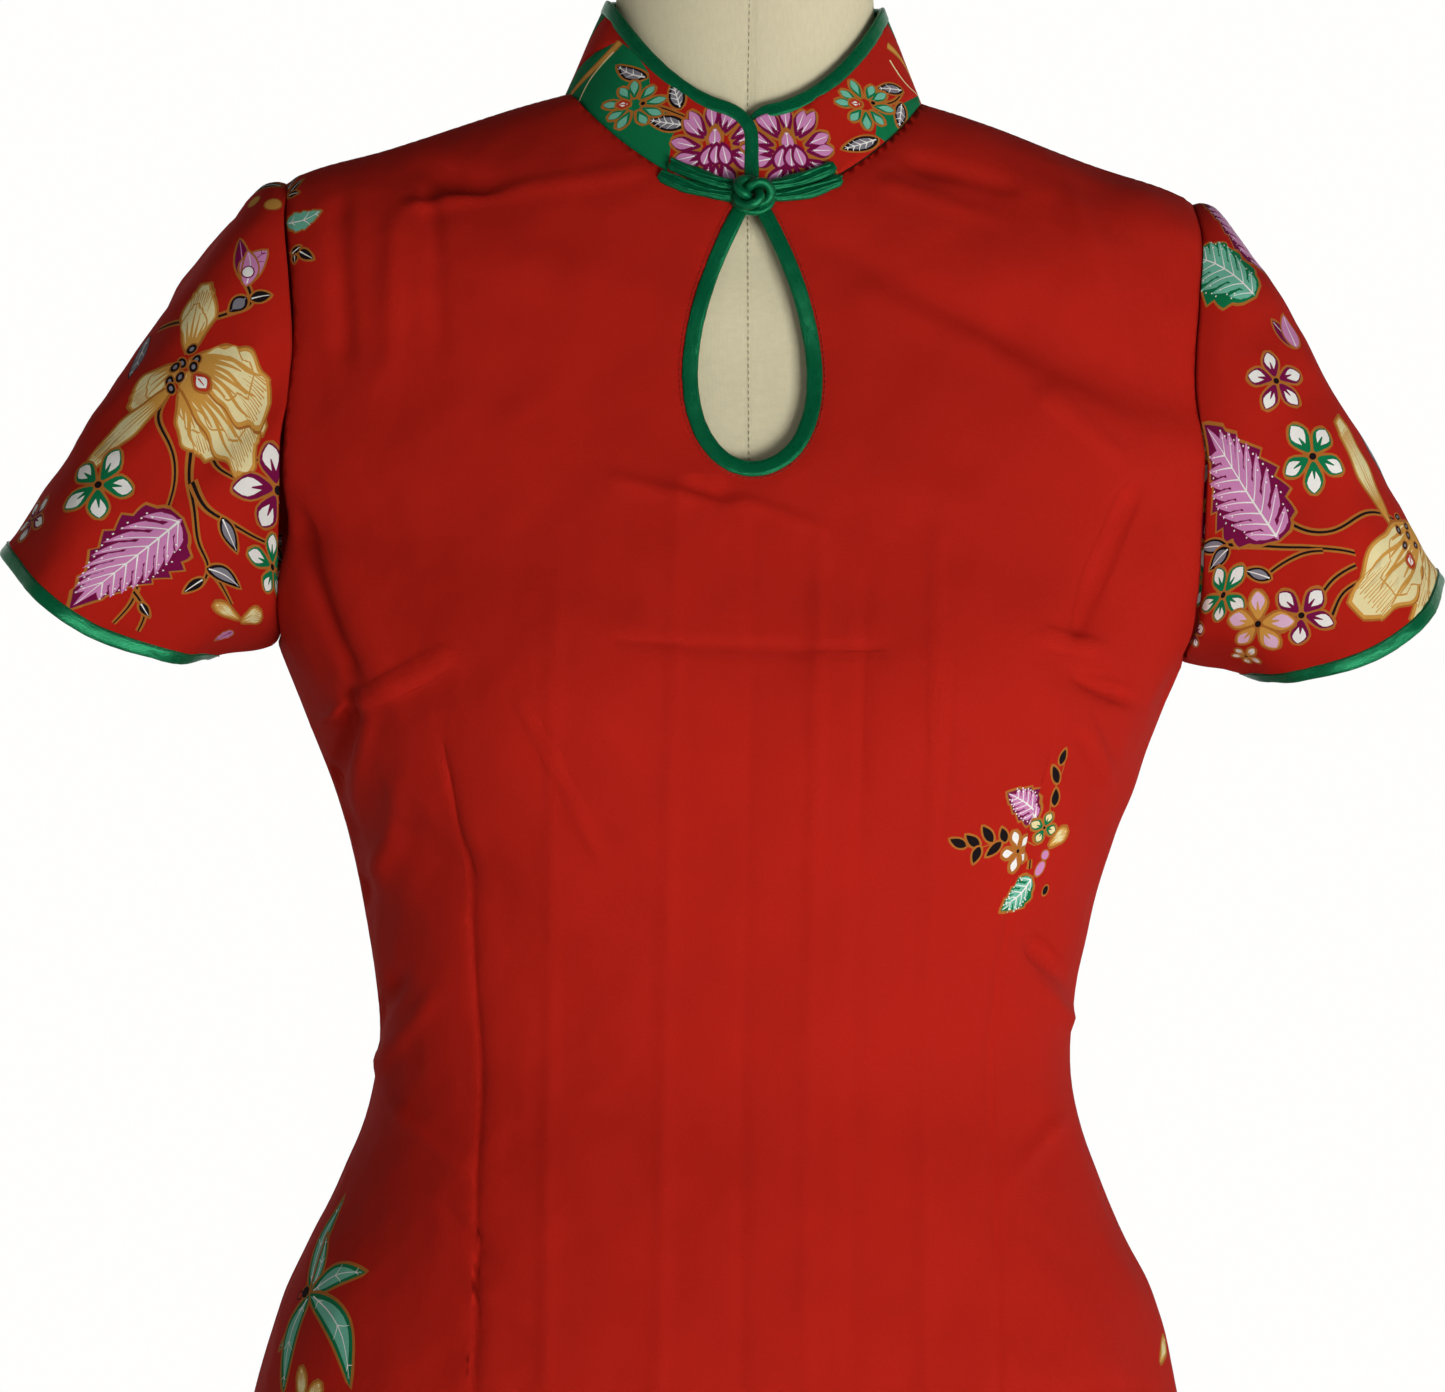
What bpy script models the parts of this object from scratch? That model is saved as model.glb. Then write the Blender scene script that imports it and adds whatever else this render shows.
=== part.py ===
# Short-sleeved mandarin-collar dress on a limbless dress form with a round stand.
# Metres, +Z up. The front of the dress faces -Y and the wearer's left is +X.
# The origin is on the floor at the centre of the stand's base.
import math

import bmesh
import bpy
import numpy as np
from mathutils import Vector
from mathutils.geometry import delaunay_2d_cdt

# Driving sizes
CLOTH_WALL = 0.0012
COLLAR_WALL = 0.0016
SEAM_GAP = 0.0003
BINDING_THICK = 0.0024
KEYHOLE_BINDING = 0.0068
COLLAR_BINDING = 0.0062
SLEEVE_BINDING = 0.0065
BODICE_SPACING = 0.029
SKIRT_SPACING = 0.054
WAIST_HEIGHT = 1.040
HEM_HEIGHT = 0.450
SHOULDER_HEIGHT = 1.409
SLIT_HEIGHT = 0.180
SLIT_SPREAD = 0.014

# Horizontal sections of the worn dress, hem to neckline. A section's height is taken at the
# side; front_dip and back_dip say how much lower it lies at the centre front and back.
SECTION_COLUMNS = ("height", "half_width", "front", "back", "square", "front_dip", "back_dip")
DRESS_SECTIONS = (
    (HEM_HEIGHT, 0.194, 0.122, 0.132, 2.15, 0.000, 0.000),
    (0.620, 0.199, 0.124, 0.136, 2.20, 0.000, 0.000),
    (0.780, 0.204, 0.126, 0.137, 2.25, 0.000, 0.000),
    (0.870, 0.203, 0.125, 0.131, 2.25, 0.000, 0.000),
    (0.943, 0.183, 0.117, 0.117, 2.20, 0.000, 0.000),
    (0.995, 0.159, 0.107, 0.102, 2.15, 0.000, 0.000),
    (WAIST_HEIGHT, 0.149, 0.101, 0.094, 2.15, 0.000, 0.000),
    (1.085, 0.154, 0.105, 0.096, 2.20, 0.000, 0.000),
    (1.137, 0.166, 0.112, 0.102, 2.25, 0.000, 0.000),
    (1.188, 0.186, 0.117, 0.107, 2.30, 0.002, 0.000),
    (1.225, 0.202, 0.114, 0.110, 2.25, 0.005, 0.000),
    (1.290, 0.226, 0.102, 0.110, 2.15, 0.014, 0.000),
    (1.345, 0.229, 0.089, 0.105, 2.10, 0.030, 0.002),
    (1.390, 0.214, 0.080, 0.098, 2.15, 0.045, 0.006),
    (SHOULDER_HEIGHT, 0.196, 0.076, 0.093, 2.20, 0.050, 0.008),
    (1.4225, 0.158, 0.0720, 0.082, 2.25, 0.0505, 0.004),
    (1.4360, 0.1185, 0.0680, 0.070, 2.25, 0.0495, 0.000),
    (1.4445, 0.093, 0.0645, 0.058, 2.15, 0.0475, -0.005),
    (1.4490, 0.0765, 0.0610, 0.048, 2.10, 0.0440, -0.009),
)

# The same columns for the padded form under the dress, thigh to neck.
FORM_SECTIONS = (
    (0.800, 0.176, 0.108, 0.117, 2.20, 0.000, 0.000),
    (0.870, 0.180, 0.110, 0.117, 2.25, 0.000, 0.000),
    (0.943, 0.163, 0.102, 0.104, 2.20, 0.000, 0.000),
    (0.995, 0.141, 0.092, 0.090, 2.15, 0.000, 0.000),
    (WAIST_HEIGHT, 0.131, 0.087, 0.083, 2.15, 0.000, 0.000),
    (1.085, 0.137, 0.092, 0.086, 2.20, 0.000, 0.000),
    (1.137, 0.148, 0.101, 0.093, 2.25, 0.000, 0.000),
    (1.188, 0.160, 0.108, 0.099, 2.30, 0.002, 0.000),
    (1.225, 0.167, 0.106, 0.102, 2.35, 0.005, 0.000),
    (1.290, 0.174, 0.095, 0.102, 2.35, 0.014, 0.000),
    (1.345, 0.180, 0.082, 0.097, 2.30, 0.030, 0.002),
    (1.385, 0.184, 0.0735, 0.090, 2.25, 0.045, 0.006),
    (1.4045, 0.182, 0.0695, 0.085, 2.25, 0.050, 0.008),
    (1.4184, 0.152, 0.0655, 0.077, 2.25, 0.0505, 0.004),
    (1.4318, 0.1150, 0.0610, 0.064, 2.25, 0.0495, 0.000),
    (1.4402, 0.0885, 0.0580, 0.052, 2.15, 0.0480, -0.005),
    (1.4475, 0.0705, 0.0510, 0.042, 2.10, 0.0430, -0.009),
    (1.4650, 0.0590, 0.0445, 0.0385, 2.05, 0.0270, -0.006),
    (1.4890, 0.0555, 0.0425, 0.0385, 2.05, 0.0120, -0.002),
    (1.5300, 0.0550, 0.0420, 0.0390, 2.00, 0.0000, 0.000),
)

# Bust shaping, a soft mound on each side of the centre front.
BUST_COLUMNS = ("centre_x", "centre_z", "rise", "spread_x", "spread_z")
BUST_MOUNDS = ((-0.085, 1.192, 0.010, 0.052, 0.050), (0.085, 1.192, 0.010, 0.052, 0.050))

# The largest folds. Each runs from one point of the worn front or back, seen straight on,
# to another; rise is outward when positive, and the two shares are its strength at the ends.
FOLD_COLUMNS = ("side", "x_from", "z_from", "x_to", "z_to", "rise", "spread", "share_from", "share_to")
FOLDS = (
    ("front", 0.050, 1.372, 0.180, 1.322, -0.0040, 0.014, 0.3, 1.0),
    ("front", 0.100, 1.322, 0.185, 1.306, 0.0032, 0.018, 0.5, 1.0),
    ("front", -0.190, 1.262, -0.158, 1.258, -0.0042, 0.014, 1.0, 0.4),
    ("front", -0.170, 1.240, -0.150, 1.195, 0.0024, 0.010, 1.0, 0.6),
    ("front", -0.165, 1.182, -0.120, 1.197, -0.0032, 0.010, 0.9, 0.4),
    ("front", -0.168, 1.138, -0.128, 1.122, -0.0046, 0.014, 0.8, 0.7),
    ("front", -0.150, 1.095, -0.140, 1.070, -0.0030, 0.012, 0.9, 0.3),
    ("front", 0.145, 1.230, 0.168, 1.268, -0.0030, 0.010, 0.8, 0.8),
    ("front", 0.130, 1.205, 0.172, 1.196, -0.0026, 0.010, 0.6, 0.9),
    ("front", 0.135, 1.085, 0.152, 1.075, -0.0024, 0.010, 0.6, 0.8),
    ("back", -0.160, 1.250, -0.060, 1.300, -0.0036, 0.016, 1.0, 0.2),
    ("back", 0.165, 1.245, 0.070, 1.292, -0.0034, 0.015, 1.0, 0.2),
    ("back", -0.130, 1.048, -0.030, 1.040, -0.0036, 0.013, 0.6, 0.9),
    ("back", 0.128, 1.062, 0.020, 1.068, -0.0032, 0.012, 0.7, 0.8),
    ("back", -0.100, 1.015, 0.060, 1.008, 0.0030, 0.014, 0.5, 0.5),
    ("front", -0.130, 0.820, -0.136, 0.445, 0.0085, 0.034, 0.0, 1.0),
    ("front", -0.050, 0.800, -0.056, 0.445, -0.0050, 0.040, 0.0, 1.0),
    ("front", 0.040, 0.780, 0.030, 0.445, 0.0065, 0.036, 0.0, 1.0),
    ("front", 0.118, 0.820, 0.112, 0.445, -0.0060, 0.030, 0.0, 1.0),
    ("front", 0.172, 0.840, 0.170, 0.445, 0.0050, 0.026, 0.0, 1.0),
    ("back", -0.150, 0.820, -0.150, 0.445, 0.0070, 0.032, 0.0, 1.0),
    ("back", -0.075, 0.780, -0.080, 0.445, -0.0070, 0.034, 0.0, 1.0),
    ("back", 0.005, 0.760, 0.000, 0.445, 0.0085, 0.036, 0.0, 1.0),
    ("back", 0.082, 0.790, 0.086, 0.445, -0.0065, 0.032, 0.0, 1.0),
    ("back", 0.155, 0.810, 0.152, 0.445, 0.0060, 0.030, 0.0, 1.0),
)

# Long darts, as distance from the centre line along the cloth at each height.
DART_GROOVE = 0.0010
DART_FLANK = 0.006
SEAM_FADE = 0.030
FRONT_DART = ((1.186, 0.130), (1.110, 0.119), (1.040, 0.113), (0.940, 0.112), (0.845, 0.112))
BACK_DART = ((1.205, 0.084), (1.110, 0.080), (1.040, 0.078), (0.940, 0.082), (0.865, 0.084))

# Armhole, seen from the side
ARMHOLE_BOTTOM = 1.212
ARMHOLE_FRONT = 0.054
ARMHOLE_BACK = 0.060
ARMHOLE_LOW_FULLNESS = 0.15
ARMHOLE_ROUNDNESS = 0.80
ARMHOLE_STEPS = 34

# Sleeve hem, as places of its upper tip and of its end under the arm
SLEEVE_TIP = (0.308, 1.248)
SLEEVE_UNDER = (0.226, 1.204)
SLEEVE_HALF_DEPTH = 0.055
SLEEVE_HEM_DROP = 0.021
SLEEVE_SEAM_GAP = 0.0006
SLEEVE_ROWS = 6

# Keyhole below the collar, measured down the centre front from the neckline
KEYHOLE_SLIT = 0.006
KEYHOLE_LENGTH = 0.113
KEYHOLE_FULL_WIDTH = 0.0292
KEYHOLE_POINT = 1.0
KEYHOLE_STEPS = 20

# Collar top edge, in the same columns as the sections
COLLAR_TOP = (1.4900, 0.0596, 0.0495, 0.0450, 2.05, 0.0465, -0.0080)
COLLAR_CORNER = 0.012
COLLAR_STEPS = 22

# Frog closing on the neckline
FROG_LEG_LENGTH = 0.030
FROG_LEG_WIDTH = 0.0112
FROG_LEG_THICK = 0.0036
FROG_START = 0.0100
FROG_SEAT = 0.0005
KNOT_RING = 0.0049
KNOT_TUBE = 0.0018
KNOT_WAVE = 0.0022
KNOT_SINK = 0.0002

# Stand
BASE_RADIUS = 0.205
BASE_THICK = 0.014
FLANGE_RADIUS = 0.034
FLANGE_HEIGHT = 0.045
POLE_RADIUS = 0.016
CAP_THICK = 0.012
FORM_ROWS = 29
FORM_STEPS = 36

MATERIALS = {
    "red_cotton": ((0.62, 0.035, 0.022), 0.85, 0.0),
    "printed_cotton": ((0.58, 0.045, 0.025), 0.85, 0.0),
    "collar_print": ((0.10, 0.30, 0.14), 0.85, 0.0),
    "green_satin": ((0.0, 0.20, 0.075), 0.35, 0.0),
    "form_linen": ((0.72, 0.67, 0.50), 0.9, 0.0),
    "cap_wood": ((0.35, 0.20, 0.10), 0.5, 0.0),
    "stand_steel": ((0.55, 0.55, 0.56), 0.3, 1.0),
    "base_paint": ((0.03, 0.03, 0.032), 0.45, 0.0),
}


# Smooth curves through the section tables
def second_slopes(knots, rows):
    """Second derivatives of the natural cubic through the rows."""
    count = len(knots)
    step = np.diff(knots)
    matrix = np.eye(count)
    right = np.zeros_like(rows)
    for i in range(1, count - 1):
        matrix[i, i - 1 : i + 2] = (step[i - 1], 2 * (step[i - 1] + step[i]), step[i])
        right[i] = 6 * ((rows[i + 1] - rows[i]) / step[i] - (rows[i] - rows[i - 1]) / step[i - 1])
    return np.linalg.solve(matrix, right)


def make_sections(table):
    """A table of sections with a running distance up the body and its smooth interpolation."""
    rows = np.array(table, float)
    side = rows[:, [1, 0]]
    front = np.column_stack([rows[:, 2], rows[:, 0] - rows[:, 5]])
    steps = [np.linalg.norm(np.diff(line, axis=0), axis=1) for line in (side, front)]
    knots = np.concatenate([[0.0], np.cumsum(sum(steps) / 2)])
    return {"rows": rows, "knots": knots, "slopes": second_slopes(knots, rows)}


def section_at(sections, run):
    knots, rows, slopes = sections["knots"], sections["rows"], sections["slopes"]
    run = np.clip(np.asarray(run, float), knots[0], knots[-1])
    i = np.clip(np.searchsorted(knots, run, side="right") - 1, 0, len(knots) - 2)
    width = knots[i + 1] - knots[i]
    a = ((knots[i + 1] - run) / width)[..., None]
    b = 1 - a
    width = width[..., None]
    bend = ((a**3 - a) * slopes[i] + (b**3 - b) * slopes[i + 1]) * width**2 / 6
    return a * rows[i] + b * rows[i + 1] + bend


def ring_point(values, angle):
    """A point of a section; angle 0 is the centre front and half a turn the centre back."""
    height, half_width, front, back, square, front_dip, back_dip = np.moveaxis(values, -1, 0)
    cosine, sine = np.cos(angle), np.sin(angle)
    depth = np.where(cosine > 0, front, back)
    dip = np.where(cosine > 0, front_dip, back_dip)
    x = half_width * np.sign(sine) * np.abs(sine) ** (2 / square)
    y = -np.sign(cosine) * depth * np.abs(cosine) ** (2 / square)
    return np.stack([x, y, height - dip * cosine**2], axis=-1)


def girth_table(sections):
    """For front and back: how long a quarter ring is, and the angle at each share of it."""
    runs = np.linspace(0, sections["knots"][-1], 240)
    values = section_at(sections, runs)
    share = np.linspace(0, 1, 121)
    table = {"runs": runs, "share": share}
    for side, start in (("front", 0.0), ("back", math.pi)):
        angles = np.linspace(start, math.pi / 2, 400)
        points = ring_point(values[:, None, :], angles[None, :])
        steps = np.linalg.norm(np.diff(points, axis=1), axis=2)
        length = np.concatenate([np.zeros((len(runs), 1)), np.cumsum(steps, axis=1)], axis=1)
        table[side, "girth"] = length[:, -1]
        rows = [np.interp(share, line / line[-1], angles) for line in length]
        table[side, "angle"] = np.array(rows)
    return table


DRESS = make_sections(DRESS_SECTIONS)
DRESS_GIRTH = girth_table(DRESS)
RUN_TOP = DRESS["knots"][-1]


def quarter_girth(side, run):
    return np.interp(run, DRESS_GIRTH["runs"], DRESS_GIRTH[side, "girth"])


def run_at_height(height):
    """The running distance of the section whose side lies at this height."""
    return np.interp(height, section_at(DRESS, DRESS_GIRTH["runs"])[:, 0], DRESS_GIRTH["runs"])


def plain_point(side, across, run):
    """A point of the dress with no folds, from its distance across the cloth and its run."""
    across, run = np.broadcast_arrays(np.asarray(across, float), np.asarray(run, float))
    share = np.clip(np.abs(across) / quarter_girth(side, run), 0, 1)
    table = DRESS_GIRTH[side, "angle"]
    row = np.interp(run, DRESS_GIRTH["runs"], np.arange(len(table)))
    column = share * (table.shape[1] - 1)
    i = np.minimum(row.astype(int), len(table) - 2)
    j = np.minimum(column.astype(int), table.shape[1] - 2)
    p, q = row - i, column - j
    angle = (1 - p) * ((1 - q) * table[i, j] + q * table[i, j + 1])
    angle = angle + p * ((1 - q) * table[i + 1, j] + q * table[i + 1, j + 1])
    point = ring_point(section_at(DRESS, run), angle)
    point[..., 0] *= np.where(across < 0, -1.0, 1.0)
    return point


def smooth_step(x):
    x = np.clip(x, 0, 1)
    return x * x * (3 - 2 * x)


def dart_distance(table, across, height):
    """Distance from the nearer dart's line, and how far inside its length the point is."""
    heights = np.array([row[0] for row in table])[::-1]
    places = np.array([row[1] for row in table])[::-1]
    gap = np.abs(np.abs(across) - np.interp(height, heights, places))
    inside = np.minimum(height - heights[0], heights[-1] - height)
    return gap, inside


def fold_rise(side, point, across, reach):
    """How far the cloth stands out of its plain form at these points; none at the seams."""
    x, z = point[..., 0], point[..., 2]
    rise = np.zeros(x.shape)
    if side == "front":
        for centre_x, centre_z, height, spread_x, spread_z in BUST_MOUNDS:
            rise += height * np.exp(-(((x - centre_x) / spread_x) ** 2) - ((z - centre_z) / spread_z) ** 2)
    for where, x0, z0, x1, z1, height, spread, share0, share1 in FOLDS:
        if where != side:
            continue
        length = math.hypot(x1 - x0, z1 - z0)
        along = ((x - x0) * (x1 - x0) + (z - z0) * (z1 - z0)) / length
        off = np.abs((x - x0) * (z1 - z0) - (z - z0) * (x1 - x0)) / length
        beyond = np.maximum(np.maximum(-along, along - length), 0)
        strength = share0 + (share1 - share0) * np.clip(along / length, 0, 1)
        rise += height * strength * np.exp(-((off / spread) ** 2) - (beyond / spread) ** 2)
    gap, inside = dart_distance(FRONT_DART if side == "front" else BACK_DART, across, z)
    rise -= DART_GROOVE * np.exp(-((gap / (DART_FLANK / 2)) ** 2)) * smooth_step(inside / 0.03)
    return rise * smooth_step((reach - np.abs(across)) / SEAM_FADE)


def cloth_point(side, across, run, lift=0.0):
    """Points on the worn cloth and their outward normals; lift moves them out of the cloth."""
    across, run = np.broadcast_arrays(np.asarray(across, float), np.asarray(run, float))
    step = 0.001

    def raised(a, r):
        reach = quarter_girth(side, r)
        a, r = np.clip(a, -reach, reach), np.clip(r, 0, RUN_TOP)
        base = plain_point(side, a, r)
        ahead = plain_point(side, a + step, r) - plain_point(side, a - step, r)
        up = plain_point(side, a, r + step) - plain_point(side, a, r - step)
        out = np.cross(ahead, up) if side == "front" else np.cross(up, ahead)
        out /= np.linalg.norm(out, axis=-1, keepdims=True)
        return base + out * fold_rise(side, base, a, reach)[..., None]

    ahead = raised(across + step, run) - raised(across - step, run)
    up = raised(across, run + step) - raised(across, run - step)
    normal = np.cross(ahead, up) if side == "front" else np.cross(up, ahead)
    normal /= np.linalg.norm(normal, axis=-1, keepdims=True)
    base = plain_point(side, across, run)
    rise = fold_rise(side, base, across, quarter_girth(side, run)) + lift
    return base + normal * np.asarray(rise)[..., None], normal


# Flat outlines, in distance across the cloth and run up the body
def armhole_angles():
    return np.linspace(0, 2 * math.pi, ARMHOLE_STEPS, endpoint=False)


def armhole_place(turn):
    """Side, distance across and run of the armhole at a turn: 0 on top, a quarter in front."""
    middle = (SHOULDER_HEIGHT + ARMHOLE_BOTTOM) / 2
    half = (SHOULDER_HEIGHT - ARMHOLE_BOTTOM) / 2
    side = "front" if math.sin(turn) >= -1e-9 else "back"
    width = ARMHOLE_FRONT if side == "front" else ARMHOLE_BACK
    depth = width * abs(math.sin(turn)) ** ARMHOLE_ROUNDNESS
    depth *= 1 - ARMHOLE_LOW_FULLNESS * math.cos(turn)
    height = middle + half * math.cos(turn)
    low, high = run_at_height(1.15), run_at_height(SHOULDER_HEIGHT + 0.010)
    for _ in range(40):
        run = (low + high) / 2
        values = section_at(DRESS, run)
        reach, square = values[2 if side == "front" else 3], values[4]
        dip = values[5 if side == "front" else 6]
        cosine = min(depth / reach, 1.0) ** (square / 2)
        if values[0] - dip * cosine**2 < height:
            low = run
        else:
            high = run
    angle = math.acos(cosine)
    if side == "back":
        angle = math.pi - angle
    row = int(round(np.interp(run, DRESS_GIRTH["runs"], np.arange(len(DRESS_GIRTH["runs"])))))
    angles = DRESS_GIRTH[side, "angle"][row]
    order = np.argsort(angles)
    share = np.interp(angle, angles[order], DRESS_GIRTH["share"][order])
    return side, float(share * quarter_girth(side, run)), float(run)


ARMHOLE = [armhole_place(turn) for turn in armhole_angles()]


def offset_line(points, distance):
    """A flat line moved sideways, to its left when the distance is positive."""
    points = np.asarray(points, float)
    tangent = np.gradient(points, axis=0)
    tangent /= np.linalg.norm(tangent, axis=1, keepdims=True)
    return points + distance * np.column_stack([-tangent[:, 1], tangent[:, 0]])


def side_seam(side, run_from, run_to, count, slit):
    """Points up or down the side or shoulder seam, clear of the other panel and of the slit."""
    runs = np.linspace(run_from, run_to, count)
    height = section_at(DRESS, runs)[:, 0]
    opening = SLIT_SPREAD * np.clip((HEM_HEIGHT + SLIT_HEIGHT - height) / SLIT_HEIGHT, 0, 1)
    across = quarter_girth(side, runs) - SEAM_GAP / 2 - (opening / 2 if slit else 0)
    return np.column_stack([across, runs])


def armhole_line(side):
    """The armhole's edge on one panel, from under the arm to the shoulder, clear of the seam."""
    half = ARMHOLE_STEPS // 2
    chosen = ARMHOLE[half::-1] if side == "front" else ARMHOLE[half:] + ARMHOLE[:1]
    line = []
    for k, (_, across, run) in enumerate(chosen):
        ends = k in (0, len(chosen) - 1)
        line.append((quarter_girth(side, run) if ends else across, run))
    moved = offset_line(line, SEAM_GAP)
    for end, shift in ((0, -SEAM_GAP), (-1, SEAM_GAP)):
        run = line[end][1] + shift
        moved[end] = (quarter_girth(side, run) - SEAM_GAP / 2, run)
    return moved


def half_outline(side):
    """Right half of a panel's outline, from the hem at the centre up to the neckline."""
    top = RUN_TOP - SEAM_GAP
    hem_width = float(side_seam(side, 0, 0.001, 2, True)[0, 0])
    hem = np.column_stack([np.linspace(0, hem_width, 9), np.zeros(9)])[1:-1]
    armhole = armhole_line(side)
    seam = side_seam(side, 0, armhole[0, 1] - 0.004, 28, True)
    shoulder = side_seam(side, armhole[-1, 1] + 0.004, top, 10, False)
    neck = np.linspace(shoulder[-1, 0], 0, 9)[1:]
    neckline = np.column_stack([neck, np.full(len(neck), top)])
    return hem, seam, armhole, shoulder, neckline


def front_run_at(distance):
    """The run at a distance down the centre front from the neckline."""
    points = plain_point("front", np.zeros(240), DRESS_GIRTH["runs"])
    steps = np.linalg.norm(np.diff(points, axis=0), axis=1)
    down = np.concatenate([[0.0], np.cumsum(steps[::-1])])
    return np.interp(distance, down, DRESS_GIRTH["runs"][::-1])


def keyhole_edge(outset):
    """Right half of the keyhole, neckline to lowest point, moved out from the opening's edge.

    The columns are distance from the centre and distance down from the neckline.
    """
    turns = np.linspace(0.30, math.pi, KEYHOLE_STEPS)
    half = KEYHOLE_FULL_WIDTH * np.sin(turns) * np.sin(turns / 2) ** KEYHOLE_POINT
    down = KEYHOLE_SLIT + KEYHOLE_LENGTH * (1 - np.cos(turns)) / 2
    slit = np.linspace(0, KEYHOLE_SLIT * 0.8, 3)
    line = np.column_stack([np.append(np.zeros(3), half), np.append(slit, down)])
    line[:, 0] += SEAM_GAP
    tangent = np.gradient(line, axis=0)
    tangent[-1] = (-1, 0)
    tangent[0] = (0, 1)
    tangent /= np.linalg.norm(tangent, axis=1, keepdims=True)
    moved = line + outset * np.column_stack([tangent[:, 1], -tangent[:, 0]])
    moved[-1, 0] = 0.0
    moved[0, 1] = 0.0
    return moved


def mirrored(points):
    return np.column_stack([-points[::-1, 0], points[::-1, 1]])


def panel_outline(side):
    hem, seam, armhole, shoulder, neckline = half_outline(side)
    right = np.concatenate([hem, seam, armhole, shoulder, neckline])
    if side == "back":
        return np.concatenate([[(0.0, 0.0)], right, mirrored(right[:-1])])
    keyhole = keyhole_edge(KEYHOLE_BINDING + SEAM_GAP)
    keyhole = np.column_stack([keyhole[:, 0], front_run_at(keyhole[:, 1])])
    keyhole[0, 1] = RUN_TOP - SEAM_GAP
    right = np.concatenate([right[right[:, 0] > 0.001], [(0, 0)]])[:-1]
    beyond = (right[:, 1] > RUN_TOP - 0.001) & (right[:, 0] < keyhole[0, 0] + 0.004)
    right = np.concatenate([right[~beyond], keyhole])
    return np.concatenate([[(0.0, 0.0)], right, mirrored(right[:-1])])


def inside_outline(points, outline):
    x, y = points[:, 0], points[:, 1]
    ends = np.roll(outline, -1, axis=0)
    inside = np.zeros(len(points), bool)
    for (x0, y0), (x1, y1) in zip(outline, ends):
        crosses = (y0 > y) != (y1 > y)
        where = x0 + (y - y0) * (x1 - x0) / ((y1 - y0) or 1e-12)
        inside ^= crosses & (x < where)
    return inside


def clearance(points, line):
    """Distance of each point from the nearest stretch of a closed flat line."""
    starts, ends = line, np.roll(line, -1, axis=0)
    best = np.full(len(points), np.inf)
    for a, b in zip(starts, ends):
        along = b - a
        share = np.clip(((points - a) @ along) / max(along @ along, 1e-15), 0, 1)
        best = np.minimum(best, np.linalg.norm(points - a - share[:, None] * along, axis=1))
    return best


def triangulate(outline, inner_lines=()):
    """Triangles that fill a flat outline, finer above the waist, with points on the inner lines."""
    points = []
    height, row = 0.0, 0
    while height < RUN_TOP:
        spacing = SKIRT_SPACING if height < run_at_height(0.93) else BODICE_SPACING
        if height > run_at_height(1.395):
            spacing = BODICE_SPACING * 0.6
        count = int(0.28 / spacing)
        shift = 0.5 * spacing * (row % 2)
        points += [(shift + k * spacing, height) for k in range(-count, count + 1)]
        height += spacing * 0.866
        row += 1
    points = np.array(points)
    points = points[inside_outline(points, outline)]
    points = points[clearance(points, outline) > BODICE_SPACING * 0.42]
    for line in inner_lines:
        points = points[clearance(points, np.concatenate([line, line[::-1]])) > 0.009]
    stacked = [outline, *inner_lines, points]
    coords = [Vector(p) for p in np.concatenate(stacked)]
    edges = []
    start = len(outline)
    for line in inner_lines:
        edges += [(start + k, start + k + 1) for k in range(len(line) - 1)]
        start += len(line)
    face = list(range(len(outline)))
    flat, _, triangles, _, _, _ = delaunay_2d_cdt(coords, edges, [face], 0, 1e-7, False)
    flat = np.array([tuple(p) for p in flat])
    centres = np.array([flat[list(t)].mean(axis=0) for t in triangles])
    kept = inside_outline(centres, outline)
    return flat, [tuple(t) for t, inside in zip(triangles, kept) if inside]


# Solids
def material(name):
    found = bpy.data.materials.get(name)
    if found:
        return found
    colour, roughness, metallic = MATERIALS[name]
    made = bpy.data.materials.new(name)
    made.use_nodes = True
    shader = made.node_tree.nodes["Principled BSDF"]
    shader.inputs["Base Color"].default_value = (*colour, 1)
    shader.inputs["Roughness"].default_value = roughness
    shader.inputs["Metallic"].default_value = metallic
    made.diffuse_color = (*colour, 1)
    return made


def add_object(name, points, faces, material_name, sharp_angle=50):
    """One named object from points and faces, with its faces turned outwards."""
    mesh = bpy.data.meshes.new(name)
    mesh.from_pydata([tuple(p) for p in points], [], [tuple(f) for f in faces])
    mesh.update()
    shape = bmesh.new()
    shape.from_mesh(mesh)
    bmesh.ops.recalc_face_normals(shape, faces=shape.faces)
    if shape.calc_volume(signed=True) < 0:
        bmesh.ops.reverse_faces(shape, faces=shape.faces)
    shape.to_mesh(mesh)
    shape.free()
    mesh.shade_smooth()
    mesh.set_sharp_from_angle(angle=math.radians(sharp_angle))
    mesh.materials.append(material(material_name))
    made = bpy.data.objects.new(name, mesh)
    bpy.context.scene.collection.objects.link(made)
    return made


def sheet_wall(name, outer, inner, triangles, material_name):
    """A closed wall between an outer and an inner sheet that share their triangles."""
    count = len(outer)
    faces = list(triangles) + [tuple(count + i for i in reversed(t)) for t in triangles]
    used = {}
    for triangle in triangles:
        for a, b in zip(triangle, triangle[1:] + triangle[:1]):
            used[a, b] = (b, a) not in used
            if (b, a) in used:
                used[b, a] = False
    faces += [(b, a, count + a, count + b) for (a, b), free in used.items() if free]
    return add_object(name, np.concatenate([outer, inner]), faces, material_name)


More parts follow.
